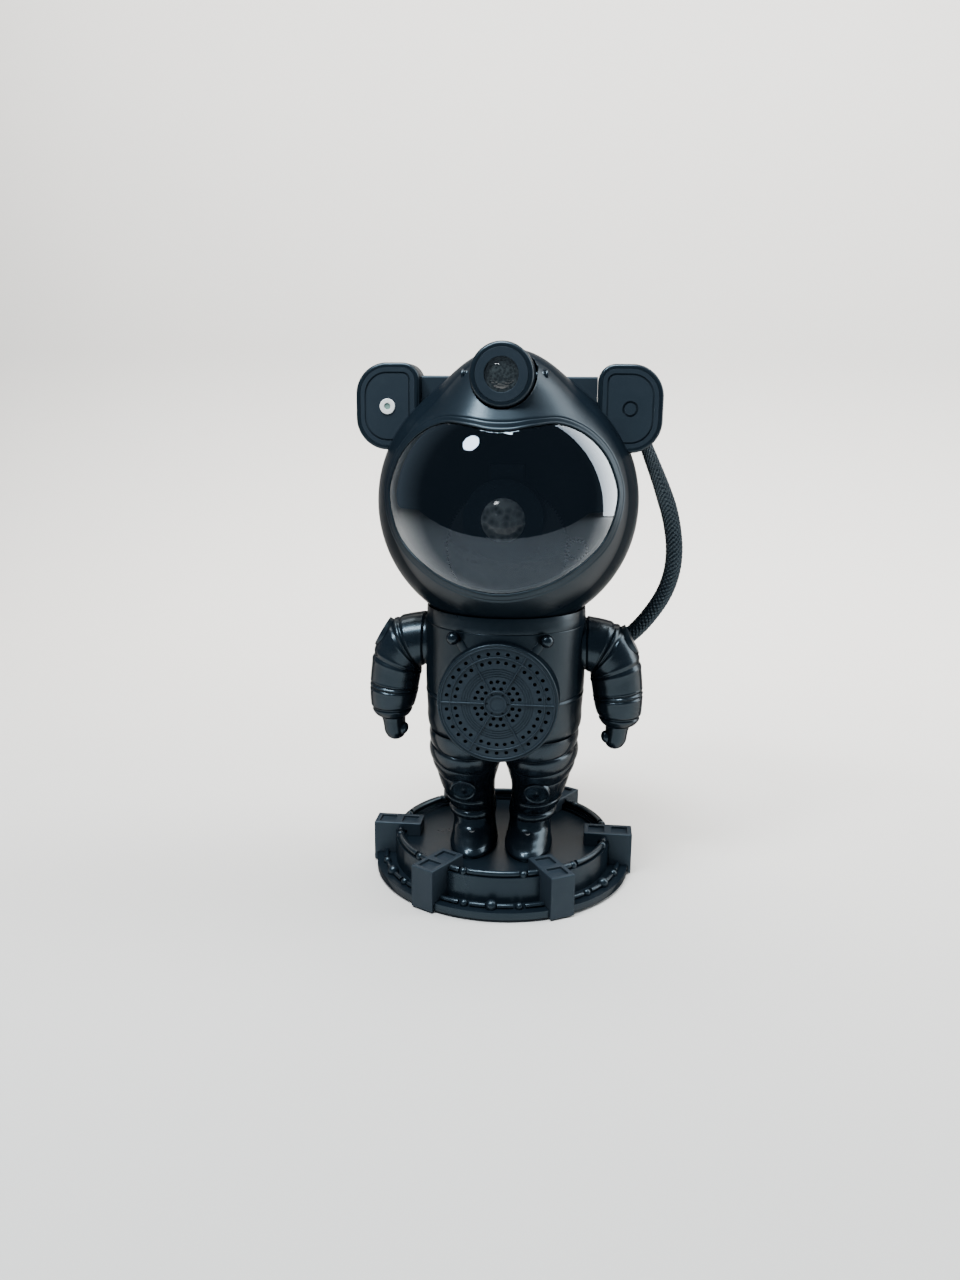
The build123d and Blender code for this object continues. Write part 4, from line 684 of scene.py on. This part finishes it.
def visor_edge(count):
    """The visor opening's outline as directions from the helmet's centre."""
    right = VISOR_OUTLINE
    left = [(-x, z) for x, z in right[-2:0:-1]]
    outline = periodic_curve(list(right) + left, count)
    x, z = outline[:, 0], outline[:, 1]
    y = -np.sqrt(HELMET_R**2 - x**2 - z**2)
    return unit(np.stack([x, y, z], axis=1))


def swing(a, b, share):
    """Directions on the great circle from a to b."""
    dot = np.clip((a * b).sum(-1, keepdims=True), -1, 1)
    angle = np.arccos(dot)
    s = np.sin(angle)
    return (np.sin((1 - share) * angle) * a + np.sin(share * angle) * b) / s


def rim_profile(distance):
    """How far the skin stands off the helmet's form at a distance from the visor opening."""
    s = np.asarray(distance, float)
    bevel = -RIM_DEPTH * np.clip(1 - s / RIM_BAND, 0, 1) ** 0.8
    crease = -RIM_CREASE * np.exp(-(((s - RIM_BAND) / 0.35) ** 2))
    lip = LIP_RISE * np.exp(-(((s - LIP_WIDTH / 2) / (LIP_WIDTH / 2)) ** 4))
    return bevel + crease + lip


def share_at_plane(edge, pole, low, high, plane_y):
    """Shares of the way from the visor's edge to the rear pole where the skin meets a plane."""
    high = np.full(len(edge), high)
    for _ in range(PLANE_HALVINGS):
        middle = (low + high) / 2
        d = swing(edge, pole, middle[:, None])
        before = d[:, 1] * helmet_reach(d) < plane_y
        low = np.where(before, middle, low)
        high = np.where(before, high, middle)
    return (low + high) / 2


def front_shell(edge, pole):
    """The front shell with its rim round the visor; returns where it ends."""
    angle = np.arccos(np.clip((edge * pole).sum(-1), -1, 1))
    rows = [swing(edge, pole, (step / HELMET_R / angle)[:, None]) for step in RIM_STEPS]
    start = RIM_STEPS[-1] / HELMET_R / angle
    split = share_at_plane(edge, pole, start, 0.98, SPLIT_Y - SEAM_HALF)
    for share in np.linspace(0, 1, 150)[1:]:
        rows.append(swing(edge, pole, (start + (split - start) * share)[:, None]))
    directions = np.stack(rows)
    turned = (directions * directions[0]).sum(-1)
    distance = np.arccos(np.clip(turned, -1, 1)) * HELMET_R
    reach = helmet_reach(directions) + rim_profile(distance)
    skin = directions * reach[..., None]
    lip_in = [directions[0] * (reach[0] - depth)[:, None] for depth in (2.6, 1.2, 0.5)]
    seam_in = []
    for depth, back in ((0.15, 0.1), (0.5, 0.14), (1.4, 0.14)):
        seam_in.append(directions[-1] * (reach[-1] - depth)[:, None] + np.array([0, back, 0]))
    rings = np.concatenate([np.stack(lip_in), skin, np.stack(seam_in)]) + np.array([0, 0, head_z])
    front = tube_object("helmet_front_skin", rings, SATIN, "head", caps=(False, False), flip=True)
    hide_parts("helmet_front")
    cut_star_slot(front)
    return split


def rear_shell(edge, pole, split):
    """The rear shell, from the split line to the pole behind."""
    start = share_at_plane(edge, pole, split, 0.99, SPLIT_Y + SEAM_HALF)
    shares = np.linspace(0, 1, 130)
    rows = [swing(edge, pole, (start + (POLE_SHARE - start) * share)[:, None]) for share in shares]
    directions = np.stack(rows)
    reach = helmet_reach(directions)
    skin = directions * reach[..., None]
    seam_in = [directions[0] * (reach[0] - depth)[:, None] for depth in (1.4, 0.5, 0.15)]
    rings = np.concatenate([np.stack(seam_in), skin]) + np.array([0, 0, head_z])
    rear = tube_object("helmet_rear_skin", rings, SATIN, "head", caps=(False, True), flip=True)
    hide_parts("helmet_rear")
    screw_wells(rear)


def helmet():
    edge = visor_edge(HELMET_COLUMNS)
    pole = np.tile([0.0, 1.0, 0.0], (HELMET_COLUMNS, 1))
    split = front_shell(edge, pole)
    star_slot_liner()
    rear_shell(edge, pole, split)


def cut_away(skin, cutters):
    """Takes closed pieces out of a skin."""
    for cutter in cutters:
        modifier = skin.modifiers.new("cut", "BOOLEAN")
        modifier.operation = "DIFFERENCE"
        modifier.object = cutter
        modifier.solver = "EXACT"
    depsgraph = bpy.context.evaluated_depsgraph_get()
    cut = bpy.data.meshes.new_from_object(skin.evaluated_get(depsgraph))
    skin.modifiers.clear()
    skin.data = cut
    for cutter in cutters:
        bpy.data.objects.remove(cutter)


def slot_section(radius, rise):
    """Half-round trough that is open above, as (x, height from the star barrel's axis)."""
    section = [(-radius, h) for h in np.linspace(rise, 0, 24)[:-1]]
    section += [(radius * cos(a), radius * sin(a)) for a in np.linspace(pi, 2 * pi, 72)]
    return section + [(radius, h) for h in np.linspace(0, rise, 24)[1:]]


def cut_star_slot(skin):
    """Cuts the star barrel's trough and its round end, with cutters that reach past the helmet."""
    section = slot_section(star_slot_r, CUTTER_RISE)
    rings = [[(x, y, star_z + z) for x, z in section] for y in (-CUTTER_REACH, star_pivot_y)]
    trough = tube_object("slot_cutter", rings, SHADE_BLACK, None)
    ball = []
    for a in np.radians(np.linspace(-89.9, 89.9, 60)):
        ball.append((star_slot_r * cos(a), star_slot_r * sin(a)))
    place = looking((0, 1, 0), (0, star_pivot_y, star_z))
    socket = lathe_object("socket_cutter", ball, place, SHADE_BLACK, None, 96)
    cut_away(skin, [trough, socket])


def inside_helmet(points, depth):
    """Which points lie deeper than this under the helmet's skin."""
    p = np.asarray(points, float) - np.array([0, 0, head_z])
    r = np.linalg.norm(p, axis=-1)
    return r < helmet_reach(p / r[..., None]) - depth


def star_slot_liner():
    """Walls of the trough and its round end, under the helmet's skin, in a darker black that paints
    the slot's shade.
    """
    radius = star_slot_r - LINER_GAP
    depths = np.linspace(LINER_FRONT, star_pivot_y, 1500)
    steps = np.linspace(0, 1, 6)
    rings = []
    for x, z in slot_section(radius, LINER_RISE):
        line = np.stack([np.full(len(depths), x), depths, np.full(len(depths), star_z + z)], axis=1)
        inside = inside_helmet(line, LINER_DEPTH)
        if inside.any():
            first = depths[int(np.argmax(inside))]
            rings.append([(x, first + (star_pivot_y - first) * t, star_z + z) for t in steps])
    faces = grid_faces(len(rings), len(steps), False, flip=True)
    liner = mesh_object("star_slot_liner", np.reshape(rings, (-1, 3)), faces, SHADE_BLACK, "head")
    latitudes = np.linspace(0, pi / 2, 40)
    around = np.linspace(0, 2 * pi, 121)
    points = []
    for a in latitudes:
        r, y = radius * cos(a), star_pivot_y + radius * sin(a)
        points += [(r * cos(b), y, star_z + r * sin(b)) for b in around]
    inside = inside_helmet(points, LINER_DEPTH)
    faces = grid_faces(len(latitudes), len(around), False)
    faces = [face for face in faces if all(inside[i] for i in face)]
    socket = mesh_object("star_socket_liner", points, faces, SHADE_BLACK, "head")


def star_pin_caps():
    """Ends of the star barrel's pin, where they come through the crest."""
    length = PIN_CAP_END - PIN_CAP_START
    round_r = PIN_CAP_EDGE_R
    outline = [(PIN_CAP_NECK_R, 0.0), (PIN_CAP_NECK_R, length - 1.3), (PIN_CAP_R, length - 1.2)]
    for a in np.radians(np.linspace(0, 80, 8)):
        r = PIN_CAP_R - round_r + round_r * cos(a)
        outline.append((r, length - round_r + round_r * sin(a)))
    outline += [(0.7, length), (0.6, length - 0.4), (0.01, length - 0.4)]
    for side, name in ((-1, "left_pin_cap"), (1, "right_pin_cap")):
        place = looking((side, 0, 0), (side * PIN_CAP_START, star_pivot_y, star_z))
        lathe_object(name, outline, place, GLOSSY, "star_barrel", 64)


def screw_wells(skin):
    """Open counterbores over the helmet's screw heads, whose places come from their box."""
    low, high = span("helmet_screws")
    radius = CASE_SCREW_R + CASE_SCREW_ROOM
    across = high[0] - CASE_SCREW_R
    levels = (low[2] + CASE_SCREW_R, high[2] - CASE_SCREW_R)
    around = np.linspace(0, 2 * pi, 49)[:-1]
    cutters = []
    for k, (x, z) in enumerate((side * across, level) for side in (-1, 1) for level in levels):
        circle = [(x + radius * cos(a), z + radius * sin(a)) for a in around]
        rings = [[(px, y, pz) for px, pz in circle] for y in (high[1] - 1.0, CUTTER_REACH)]
        cutters.append(tube_object(f"well_cutter_{k}", rings, SHADE_BLACK, None, flip=True))
        wall = []
        for share in np.linspace(0, 1, 8):
            ring = []
            for px, pz in circle:
                skin_y = sqrt(HELMET_R**2 - px**2 - (pz - head_z) ** 2) - LINER_GAP
                ring.append((px, skin_y + (high[1] - CASE_SCREW_SINK - skin_y) * share, pz))
            wall.append(ring)
        name = f"helmet_screw_well_{k}"
        well = tube_object(name, wall, SATIN, "head", caps=(False, False), flip=True)
    cut_away(skin, cutters)


def visor_shell():
    """Visor skin with its turned edge, a fan of rings from its middle."""
    edge = visor_edge(VISOR_COLUMNS)
    middle = np.tile([0.0, -1.0, 0.0], (VISOR_COLUMNS, 1))
    angle = np.arccos(np.clip((edge * middle).sum(-1), -1, 1))
    stop = 1 - VISOR_GAP / HELMET_R / angle
    shares = np.r_[0.002, np.linspace(0, 1, 70)[1:]]
    rings = [swing(middle, edge, (share * stop)[:, None]) * VISOR_R for share in shares]
    for out, depth in VISOR_TURN:
        turned = (stop * (1 + out / HELMET_R))[:, None]
        rings.append(swing(middle, edge, turned) * (VISOR_R - depth))
    rings = np.stack(rings) + np.array([0, 0, head_z])
    visor = tube_object("visor_shell", rings, VISOR, "head", caps=(True, False), flip=True)
    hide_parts("visor")


# -------- torso


FRONT = (0.0, -1.0, 0.0)


def torso_radius(z):
    return smooth_table(TORSO_ROWS, np.asarray(z, float).ravel())[:, 0].reshape(np.shape(z))


def hem_height(angle):
    """Lower edge of the torso shell round the figure: it dips at the front, under the grille."""
    front = np.clip(-np.sin(angle), 0, 1)
    return HEM_Z - HEM_DIP * front**1.2


def torso_skin():
    """The torso's shell, with the hem turned in, the belly's seam and an open wall at the neck."""
    angle = np.linspace(0, 2 * pi, TORSO_COLUMNS, endpoint=False)
    level = np.ones(TORSO_COLUMNS)
    hem = hem_height(angle)
    side = np.abs(np.cos(angle)) ** 2
    rows = [(hem - drop, -inset) for inset, drop in HEM_TURN]
    base = hem - HEM_TURN[-1][1]
    for share in np.linspace(0, 1, 150)[1:]:
        rows.append((base + (seam_z - 0.25 - base) * share, 0.0))
    rows += [((seam_z - drop) * level, -inset) for drop, inset in COLLAR_TURN]
    rings = []
    for z, off in rows:
        above = z - BELLY_SEAM_Z - BELLY_SEAM_RISE * side
        groove = -BELLY_SEAM_DEPTH * np.exp(-((above / BELLY_SEAM_HALF) ** 2))
        ridge = BELLY_RIDGE * np.exp(-(((above + BELLY_RIDGE_DROP) / BELLY_RIDGE_HALF) ** 2))
        waist = WAIST_SWELL * np.exp(-(((z - WAIST_Z) / WAIST_HALF) ** 2))
        r = torso_radius(z) + off + groove + ridge + waist
        rings.append(np.stack([r * np.cos(angle), r * np.sin(angle), z], axis=1))
    torso = tube_object("torso_skin", rings, SATIN, "figure", caps=(True, False))
    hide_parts("torso_front", "torso_rear")


def lathe_object(name, outline, place, material, body, columns, ring=False):
    """Turned piece: outline is (radius, height) along the local Z axis of the 4x4 place.

    A ring's outline closes on itself, and any other piece's ends are capped.
    """
    if ring:
        outline = [*outline, outline[0]]
    angle = np.linspace(0, 2 * pi, columns, endpoint=False)
    x, y, ones = np.cos(angle), np.sin(angle), np.ones(columns)
    rings = []
    for r, h in outline:
        circle = np.stack([r * x, r * y, h * ones, ones], axis=1)
        rings.append((circle @ place.T)[:, :3])
    return tube_object(name, rings, material, body, caps=(not ring, not ring))


def looking(direction, origin):
    """4x4 place whose local Z looks along a direction that isn't upright, in millimetres."""
    z = unit(direction)
    x = unit(np.cross((0.0, 0.0, 1.0), z))
    place = np.eye(4)
    place[:3, 0], place[:3, 1], place[:3, 2], place[:3, 3] = x, np.cross(z, x), z, origin
    return place


def speaker_bezel():
    """Ring of the torso round the speaker plate."""
    outer, inner = grille_r + BEZEL_OUT, grille_r + BEZEL_GAP
    face = -grille_low[1] - BEZEL_STEP
    outline = [
        (outer, BEZEL_ROOT),
        (outer, face - 0.7),
        (outer - 0.15, face - 0.25),
        (outer - 0.5, face),
        (inner + 0.35, face),
        (inner, face - 0.35),
        (inner, face - 3.0),
    ]
    place = looking(FRONT, (0, 0, grille_z))
    bezel = lathe_object("speaker_bezel", outline, place, SATIN, "figure", 240, ring=True)


def grille_rings():
    """Raised rings on the speaker plate."""
    place = looking(FRONT, (0, 0, grille_z))
    for name, radius, width, rise in GRILLE_RINGS:
        half = width / 2
        section = [(1, -0.2), (1, rise * 0.6), (0.5, rise)]
        section += [(-share, height) for share, height in section[::-1]]
        outline = [(radius + half * share, height - grille_face_y) for share, height in section]
        ring = lathe_object(name, outline, place, MATT, "figure", 240, ring=True)


def grille_spokes():
    """Fine raised spokes between the fields of holes."""
    # across the spoke in shares of its width, toward the plate
    profile = [(-0.5, 0.25), (-0.46, -0.3), (-0.24, -0.52)]
    profile += [(-share, depth) for share, depth in profile[::-1]]
    faces = grid_faces(SPOKE_ROWS, len(profile), False, flip=True)
    for k in range(SPOKES):
        a = 2 * pi / SPOKES * k
        along, across = np.array([cos(a), 0, sin(a)]), np.array([-sin(a), 0, cos(a)])
        points = []
        for r in np.linspace(SPOKE_START, SPOKE_END, SPOKE_ROWS):
            middle = along * r + np.array([0, grille_face_y, grille_z])
            for share, depth in profile:
                points.append(middle + across * share * SPOKE_W + np.array([0, depth, 0]))
        spoke = mesh_object(f"grille_spoke_{k}", points, faces, MATT, "figure")


def chest_studs():
    stud_z = centre("chest_studs")[2]
    r = float(torso_radius(stud_z))
    outline = [(0.01, -2.0), (STUD_NECK_R, -2.0), (STUD_NECK_R, 0.0)]
    for a in np.radians(np.linspace(-52, 89.9, 30)):
        outline.append((STUD_R * cos(a), STUD_STANDS + STUD_R * sin(a)))
    for side, name in ((-1, "left_stud"), (1, "right_stud")):
        at = np.array([side * STUD_X, -sqrt(r * r - STUD_X**2), 0.0])
        place = looking(at, (at[0], at[1], stud_z))
        lathe_object(name, outline, place, GLOSSY, "figure", 64)
    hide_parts("chest_studs")


def strap(name, start, end):
    """Strap pressed onto the torso between two (x, z) points of its front."""
    along = unit(end - start)
    across = np.array([-along[1], along[0]])
    # across the strap in shares of its width, and how far out in shares of its rise
    half = [(-0.5, -0.3), (-0.5, 0.35), (-0.42, 0.85), (-0.3, 1.0)]
    profile = [*half, (0.0, 1.0), *[(-offset, height) for offset, height in half[::-1]]]
    rows = 60
    points = []
    for share in np.linspace(0, 1, rows):
        middle = start + (end - start) * share
        for offset, height in profile:
            x, z = middle + across * offset * STRAP_W
            r = float(torso_radius(z)) + STRAP_RISE * height
            points.append((x, -sqrt(r * r - x * x), z))
    faces = grid_faces(rows, len(profile), False, flip=True)
    piece = mesh_object(name, points, faces, SATIN, "figure")


def straps():
    """Straps from the studs to the speaker plate."""
    hub = np.array([0.0, grille_z])
    for side, name in ((-1, "left_strap"), (1, "right_strap")):
        stud = np.array([side * STUD_X, seam_z - STUD_DROP])
        toward = unit(hub - stud)
        strap(name, stud + toward * STRAP_START, hub - toward * (grille_r + STRAP_END))


# -------- legs and arms


def leg_skin(side, name, node):
    columns, rows = 288, 420
    angle = np.linspace(0, 2 * pi, columns, endpoint=False)
    x, y = np.cos(angle), np.sin(angle)
    heights = np.linspace(LEG_STATIONS[0][0], LEG_STATIONS[-1][0], rows)
    rings = []
    for z, (cx, cy, half_w, half_d) in zip(heights, smooth_table(LEG_STATIONS, heights)):
        fold_z = z - LEG_FOLD_SLOPE * half_w * x * np.clip((z - 30) / 12, 0, 1)
        puff = puffs(fold_z, LEG_FOLDS)
        # the puffs are slight on the inner side, where the legs nearly meet
        grow = puff * np.clip(0.35 + 0.65 * (half_w + x * half_w) / 12, 0.35, 1.0)
        px = cx + (half_w + np.where(x < 0, grow * 0.3, grow)) * x
        px = np.maximum(px, LEG_INNER_X)
        py = cy + (half_d + grow) * y
        rings.append(np.stack([side * px, py, np.full(columns, z)], axis=1))
    first = rings[0].copy()
    middle = first.mean(0)
    sole = middle + (first - middle) * SOLE_INSET
    sole[:, 2] = first[0, 2]
    rings[0][:, 2] += SOLE_EDGE
    rings.insert(0, sole)
    leg = tube_object(name, rings, GLOSSY, "figure", flip=side < 0)
    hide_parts(node)
    knee_x, knee_y, knee_z = KNEE_DISC
    outline = [(KNEE_DISC_R - inset, height) for inset, height in KNEE_DISC_STEPS]
    outline.append((0.01, -0.3))
    place = looking(KNEE_DISC_FACES, (side * knee_x, knee_y, knee_z))
    disc_name = name.replace("skin", "knee_disc")
    disc = lathe_object(disc_name, outline, place, GLOSSY, "figure", 96)


def arm_line():
    """The right arm's stations, each with its place along the arm in front."""
    table = np.array(ARM_STATIONS, float)
    table[:, 0] += SHOULDER_X
    table[:, 1] += shoulder_z
    steps = np.linalg.norm(np.diff(table[:, :2], axis=0), axis=1)
    return np.c_[np.r_[0, np.cumsum(steps)], table]


def arm_grow(s, x, half_w):
    """How far the sleeve stands off its table at a place along the arm: swells and creases."""
    grow = np.zeros(len(x))
    for place, half, height in ARM_SWELLS:
        grow += height * np.exp(-(((s - place) / half) ** 4))
    for place, width, depth, slant in ARM_GROOVES:
        off = s - place + slant * half_w * (x - 0.25)
        grow -= depth * np.exp(-((off / width) ** 2))
        before = np.exp(-(((off - 2 * width) / width) ** 2))
        after = np.exp(-(((off + 2 * width) / width) ** 2))
        grow += GROOVE_LIPS * depth * (before + after)
    return grow * np.clip(half_w / 8, 0.2, 1)


def arm_skin(side, name, node, body):
    line = arm_line()
    places = np.r_[0, np.linspace(0.02, line[-1, 0], 380)]
    angle = np.linspace(0, 2 * pi, 256, endpoint=False)
    x, y = np.cos(angle), np.sin(angle)
    rings = []
    for s, (cx, cz, slope, half_w, half_d) in zip(places, smooth_table(line, places)):
        down = radians(slope)
        across = np.array([sin(down), 0, cos(down)])
        grow = arm_grow(s, x, half_w)
        ring = np.outer((half_w + grow) * x, across) + np.outer((half_d + grow) * y, [0, 1, 0])
        ring += np.array([cx, 0, cz])
        ring[:, 0] *= side
        rings.append(ring)
    arm = tube_object(name, rings, GLOSSY, body, flip=side > 0)
    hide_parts(node)
    outline = [
        (0.01, -SHOULDER_ROOT),
        (SHOULDER_ROOT_R, -SHOULDER_ROOT),
        (SHOULDER_ROOT_R, 0.6),
        (SHOULDER_ROOT_R - 1.0, 1.0),
    ]
    place = looking((side, 0, 0), (side * SHOULDER_X, 0, shoulder_z))
    root = lathe_object(name.replace("skin", "shoulder_root"), outline, place, GLOSSY, body, 96)
    outline = []
    for share in np.linspace(0, 1, 24):
        h = -THUMB_R * THUMB_LONG + 2 * THUMB_LONG * THUMB_R * share
        r = THUMB_R * sqrt(max(1 - (h / (THUMB_R * THUMB_LONG)) ** 2, 0.0)) + 0.002
        outline.append((r, h))
    x, y, z = THUMB
    place = looking((side * 0.3, -0.2, -1.0), (side * (SHOULDER_X + x), y, shoulder_z + z))
    thumb = lathe_object(name.replace("skin", "thumb"), outline, place, GLOSSY, body, 48)


# -------- hose


def route_line():
    """Points along the hose's curve, close together, in millimetres."""
    curve = bpy.data.curves.new("hose_line", "CURVE")
    curve.dimensions = "3D"
    spline = curve.splines.new("NURBS")
    spline.points.add(len(HOSE_ROUTE) - 1)
    for point, place in zip(spline.points, HOSE_ROUTE):
        point.co = (*[v * MM for v in place], 1)
    spline.order_u = 3
    spline.use_endpoint_u = True
    curve.resolution_u = 64
    carrier = bpy.data.objects.new("hose_line", curve)
    bpy.context.scene.collection.objects.link(carrier)
    depsgraph = bpy.context.evaluated_depsgraph_get()
    mesh = bpy.data.meshes.new_from_object(carrier.evaluated_get(depsgraph))
    line = np.array([v.co for v in mesh.vertices]) / MM
    bpy.data.objects.remove(carrier)
    return line


def resample(line, count):
    length = np.r_[0, np.cumsum(np.linalg.norm(np.diff(line, axis=0), axis=1))]
    at = np.linspace(0, length[-1], count)
    return np.stack([np.interp(at, length, line[:, k]) for k in range(3)], axis=1), length[-1]


def hose_braid():
    """Flat braid, twisted and narrowed toward its upper end, in two pieces."""
    line, length = resample(route_line(), 760)
    tangent = unit(np.gradient(line, axis=0))
    around = np.linspace(0, 2 * pi, 96, endpoint=False)
    flat_x = np.sign(np.cos(around)) * np.abs(np.cos(around)) ** 0.8
    flat_y = np.sign(np.sin(around)) * np.abs(np.sin(around)) ** 0.8
    turn = around / (2 * pi) * BRAID_STRANDS
    rings = []
    for i, (p, t) in enumerate(zip(line, tangent)):
        s = length * i / (len(line) - 1)
        view_side = unit(np.cross(t, (0.15, 1.0, 0.1)))
        back = np.cross(view_side, t)
        twist = radians(HOSE_TWIST) * max(0.0, 1 - s / HOSE_TWIST_END) ** 1.5
        wide = view_side * cos(twist) + back * sin(twist)
        thin = np.cross(t, wide)
        narrow = max(0.0, 1 - s / HOSE_NARROW_END)
        half_w = HOSE_WIDTH / 2 - (HOSE_WIDTH - HOSE_TOP_WIDTH) / 2 * narrow
        half_t = HOSE_THICK / 2 + HOSE_TOP_THICKER * narrow
        x, y = flat_x * half_w, flat_y * half_t
        # two families of strands cross, and each lies over the other in turn
        a, b = turn + s / BRAID_PITCH, turn - s / BRAID_PITCH
        over = (np.floor(a * 2) + np.floor(b * 2)) % 2 < 1
        fa, fb = (a * 2) % 1, (b * 2) % 1
        across, along = np.where(over, fa, fb), np.where(over, fb, fa)
        bulge = np.sqrt(np.clip(4 * across * (1 - across), 0, 1))
        height = BRAID_RELIEF * bulge * (0.55 + 0.45 * np.sin(pi * along))
        scale = 1 + (height - BRAID_SINK) / np.hypot(x, y)
        rings.append(p + np.outer(x * scale, wide) + np.outer(y * scale, thin))
    part = round(HOSE_TOP_PART / length * (len(line) - 1))
    top = tube_object("hose_braid_top", rings[: part + 1], BRAID, None)
    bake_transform(top)
    hose = tube_object("hose_braid", rings[part:], BRAID, None)
    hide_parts("hose")
    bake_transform(hose)


# -------- stage, light and camera

FLOOR_COLOUR = (0.52, 0.5, 0.475)
FLOOR_FRONT = -360.0
FLOOR_HALF = 1700.0
FLOOR_DROP = 0.02
BACKDROP_Y = 620.0
BACKDROP_BEND = 260.0
BACKDROP_TOP = 1500.0


def stage():
    """Pale paper that bends up into a backdrop behind the object."""
    material, tree, shader = new_material("paper_sweep")
    pale = tuple(c * 1.04 for c in FLOOR_COLOUR)
    colour = tint(tree, noise(tree, 9, 4), FLOOR_COLOUR, pale)
    tree.links.new(colour, shader.inputs["Base Color"])
    shader.inputs["Roughness"].default_value = 0.85
    profile = [(FLOOR_FRONT, 0.0), (BACKDROP_Y - BACKDROP_BEND, 0.0)]
    for a in np.radians(np.linspace(0, 90, 30)[1:]):
        y = BACKDROP_Y - BACKDROP_BEND + BACKDROP_BEND * sin(a)
        profile.append((y, BACKDROP_BEND * (1 - cos(a))))
    profile.append((BACKDROP_Y, BACKDROP_TOP))
    points = [(x, y, z - FLOOR_DROP) for y, z in profile for x in (-FLOOR_HALF, FLOOR_HALF)]
    faces = grid_faces(len(profile), 2, False, flip=True)
    sweep = mesh_object("paper_sweep", points, faces, material, None)


def area_light(name, place, target, size, power, colour, spread=180.0, shape="RECTANGLE"):
    light = bpy.data.lights.new(name, "AREA")
    light.shape = shape
    light.size, light.size_y = size[0] * MM, size[1] * MM
    light.spread = radians(spread)
    light.energy = power
    light.color = colour
    obj = bpy.data.objects.new(name, light)
    bpy.context.scene.collection.objects.link(obj)
    obj.location = Vector(place) * MM
    direction = (Vector(target) - Vector(place)).normalized()
    obj.rotation_euler = direction.to_track_quat("-Z", "Y").to_euler()


def lights():
    aim = (0, 0, 130)
    area_light("overhead", (-70, -240, 900), aim, (320, 220), 15.0, (0.88, 0.95, 1.0))
    area_light("key", (-380, -420, 820), aim, (190, 190), 7.0, (0.92, 0.96, 1.0), shape="DISK")
    area_light("right_bank", (760, 190, 560), aim, (400, 1250), 15.0, (0.94, 0.98, 1.0))
    low = (0, 560, 160)
    area_light("backdrop_wash", (0, 300, 980), low, (1500, 260), 15.0, (1.0, 0.97, 0.93), 100.0)
    world = bpy.data.worlds.new("studio")
    bpy.context.scene.world = world
    world.use_nodes = True
    background = world.node_tree.nodes["Background"]
    background.inputs["Color"].default_value = (0.6, 0.8, 1.0, 1)
    background.inputs["Strength"].default_value = 0.3


CAMERA_PLACE = (33.9, -430.7, 203.9)
CAMERA_HEADING = (-0.1045, 0.9945)
CAMERA_PITCH = 12.9
CAMERA_ROLL = 0.64
FOCAL_PIXELS = 1010.0  # on an image 1280 pixels high
IMAGE_HEIGHT = 1280.0
SENSOR = 36.0


def camera():
    heading = Vector((*CAMERA_HEADING, 0)).normalized()
    forward = heading * cos(radians(CAMERA_PITCH)) - Vector((0, 0, 1)) * sin(radians(CAMERA_PITCH))
    level = heading.cross(Vector((0, 0, 1)))
    rise = level.cross(forward)
    roll = radians(CAMERA_ROLL)
    right = level * cos(roll) + rise * sin(roll)
    up = rise * cos(roll) - level * sin(roll)
    data = bpy.data.cameras.new("camera")
    data.sensor_fit = "VERTICAL"
    data.sensor_height = SENSOR
    data.lens = FOCAL_PIXELS / IMAGE_HEIGHT * SENSOR
    data.clip_start = 0.01
    data.dof.use_dof = False
    obj = bpy.data.objects.new("camera", data)
    bpy.context.scene.collection.objects.link(obj)
    turn = Matrix((right, up, -forward)).transposed().to_4x4()
    obj.matrix_world = Matrix.Translation(Vector(CAMERA_PLACE) * MM) @ turn
    bpy.context.scene.camera = obj


dress_cad()
helmet()
star_pin_caps()
visor_shell()
torso_skin()
speaker_bezel()
grille_rings()
grille_spokes()
chest_studs()
straps()
for side, word in ((-1, "left"), (1, "right")):
    leg_skin(side, f"{word}_leg_skin", f"{word}_leg")
    arm_skin(side, f"{word}_arm_skin", f"{word}_arm", f"{word}_arm")
hose_braid()
stage()
lights()
camera()
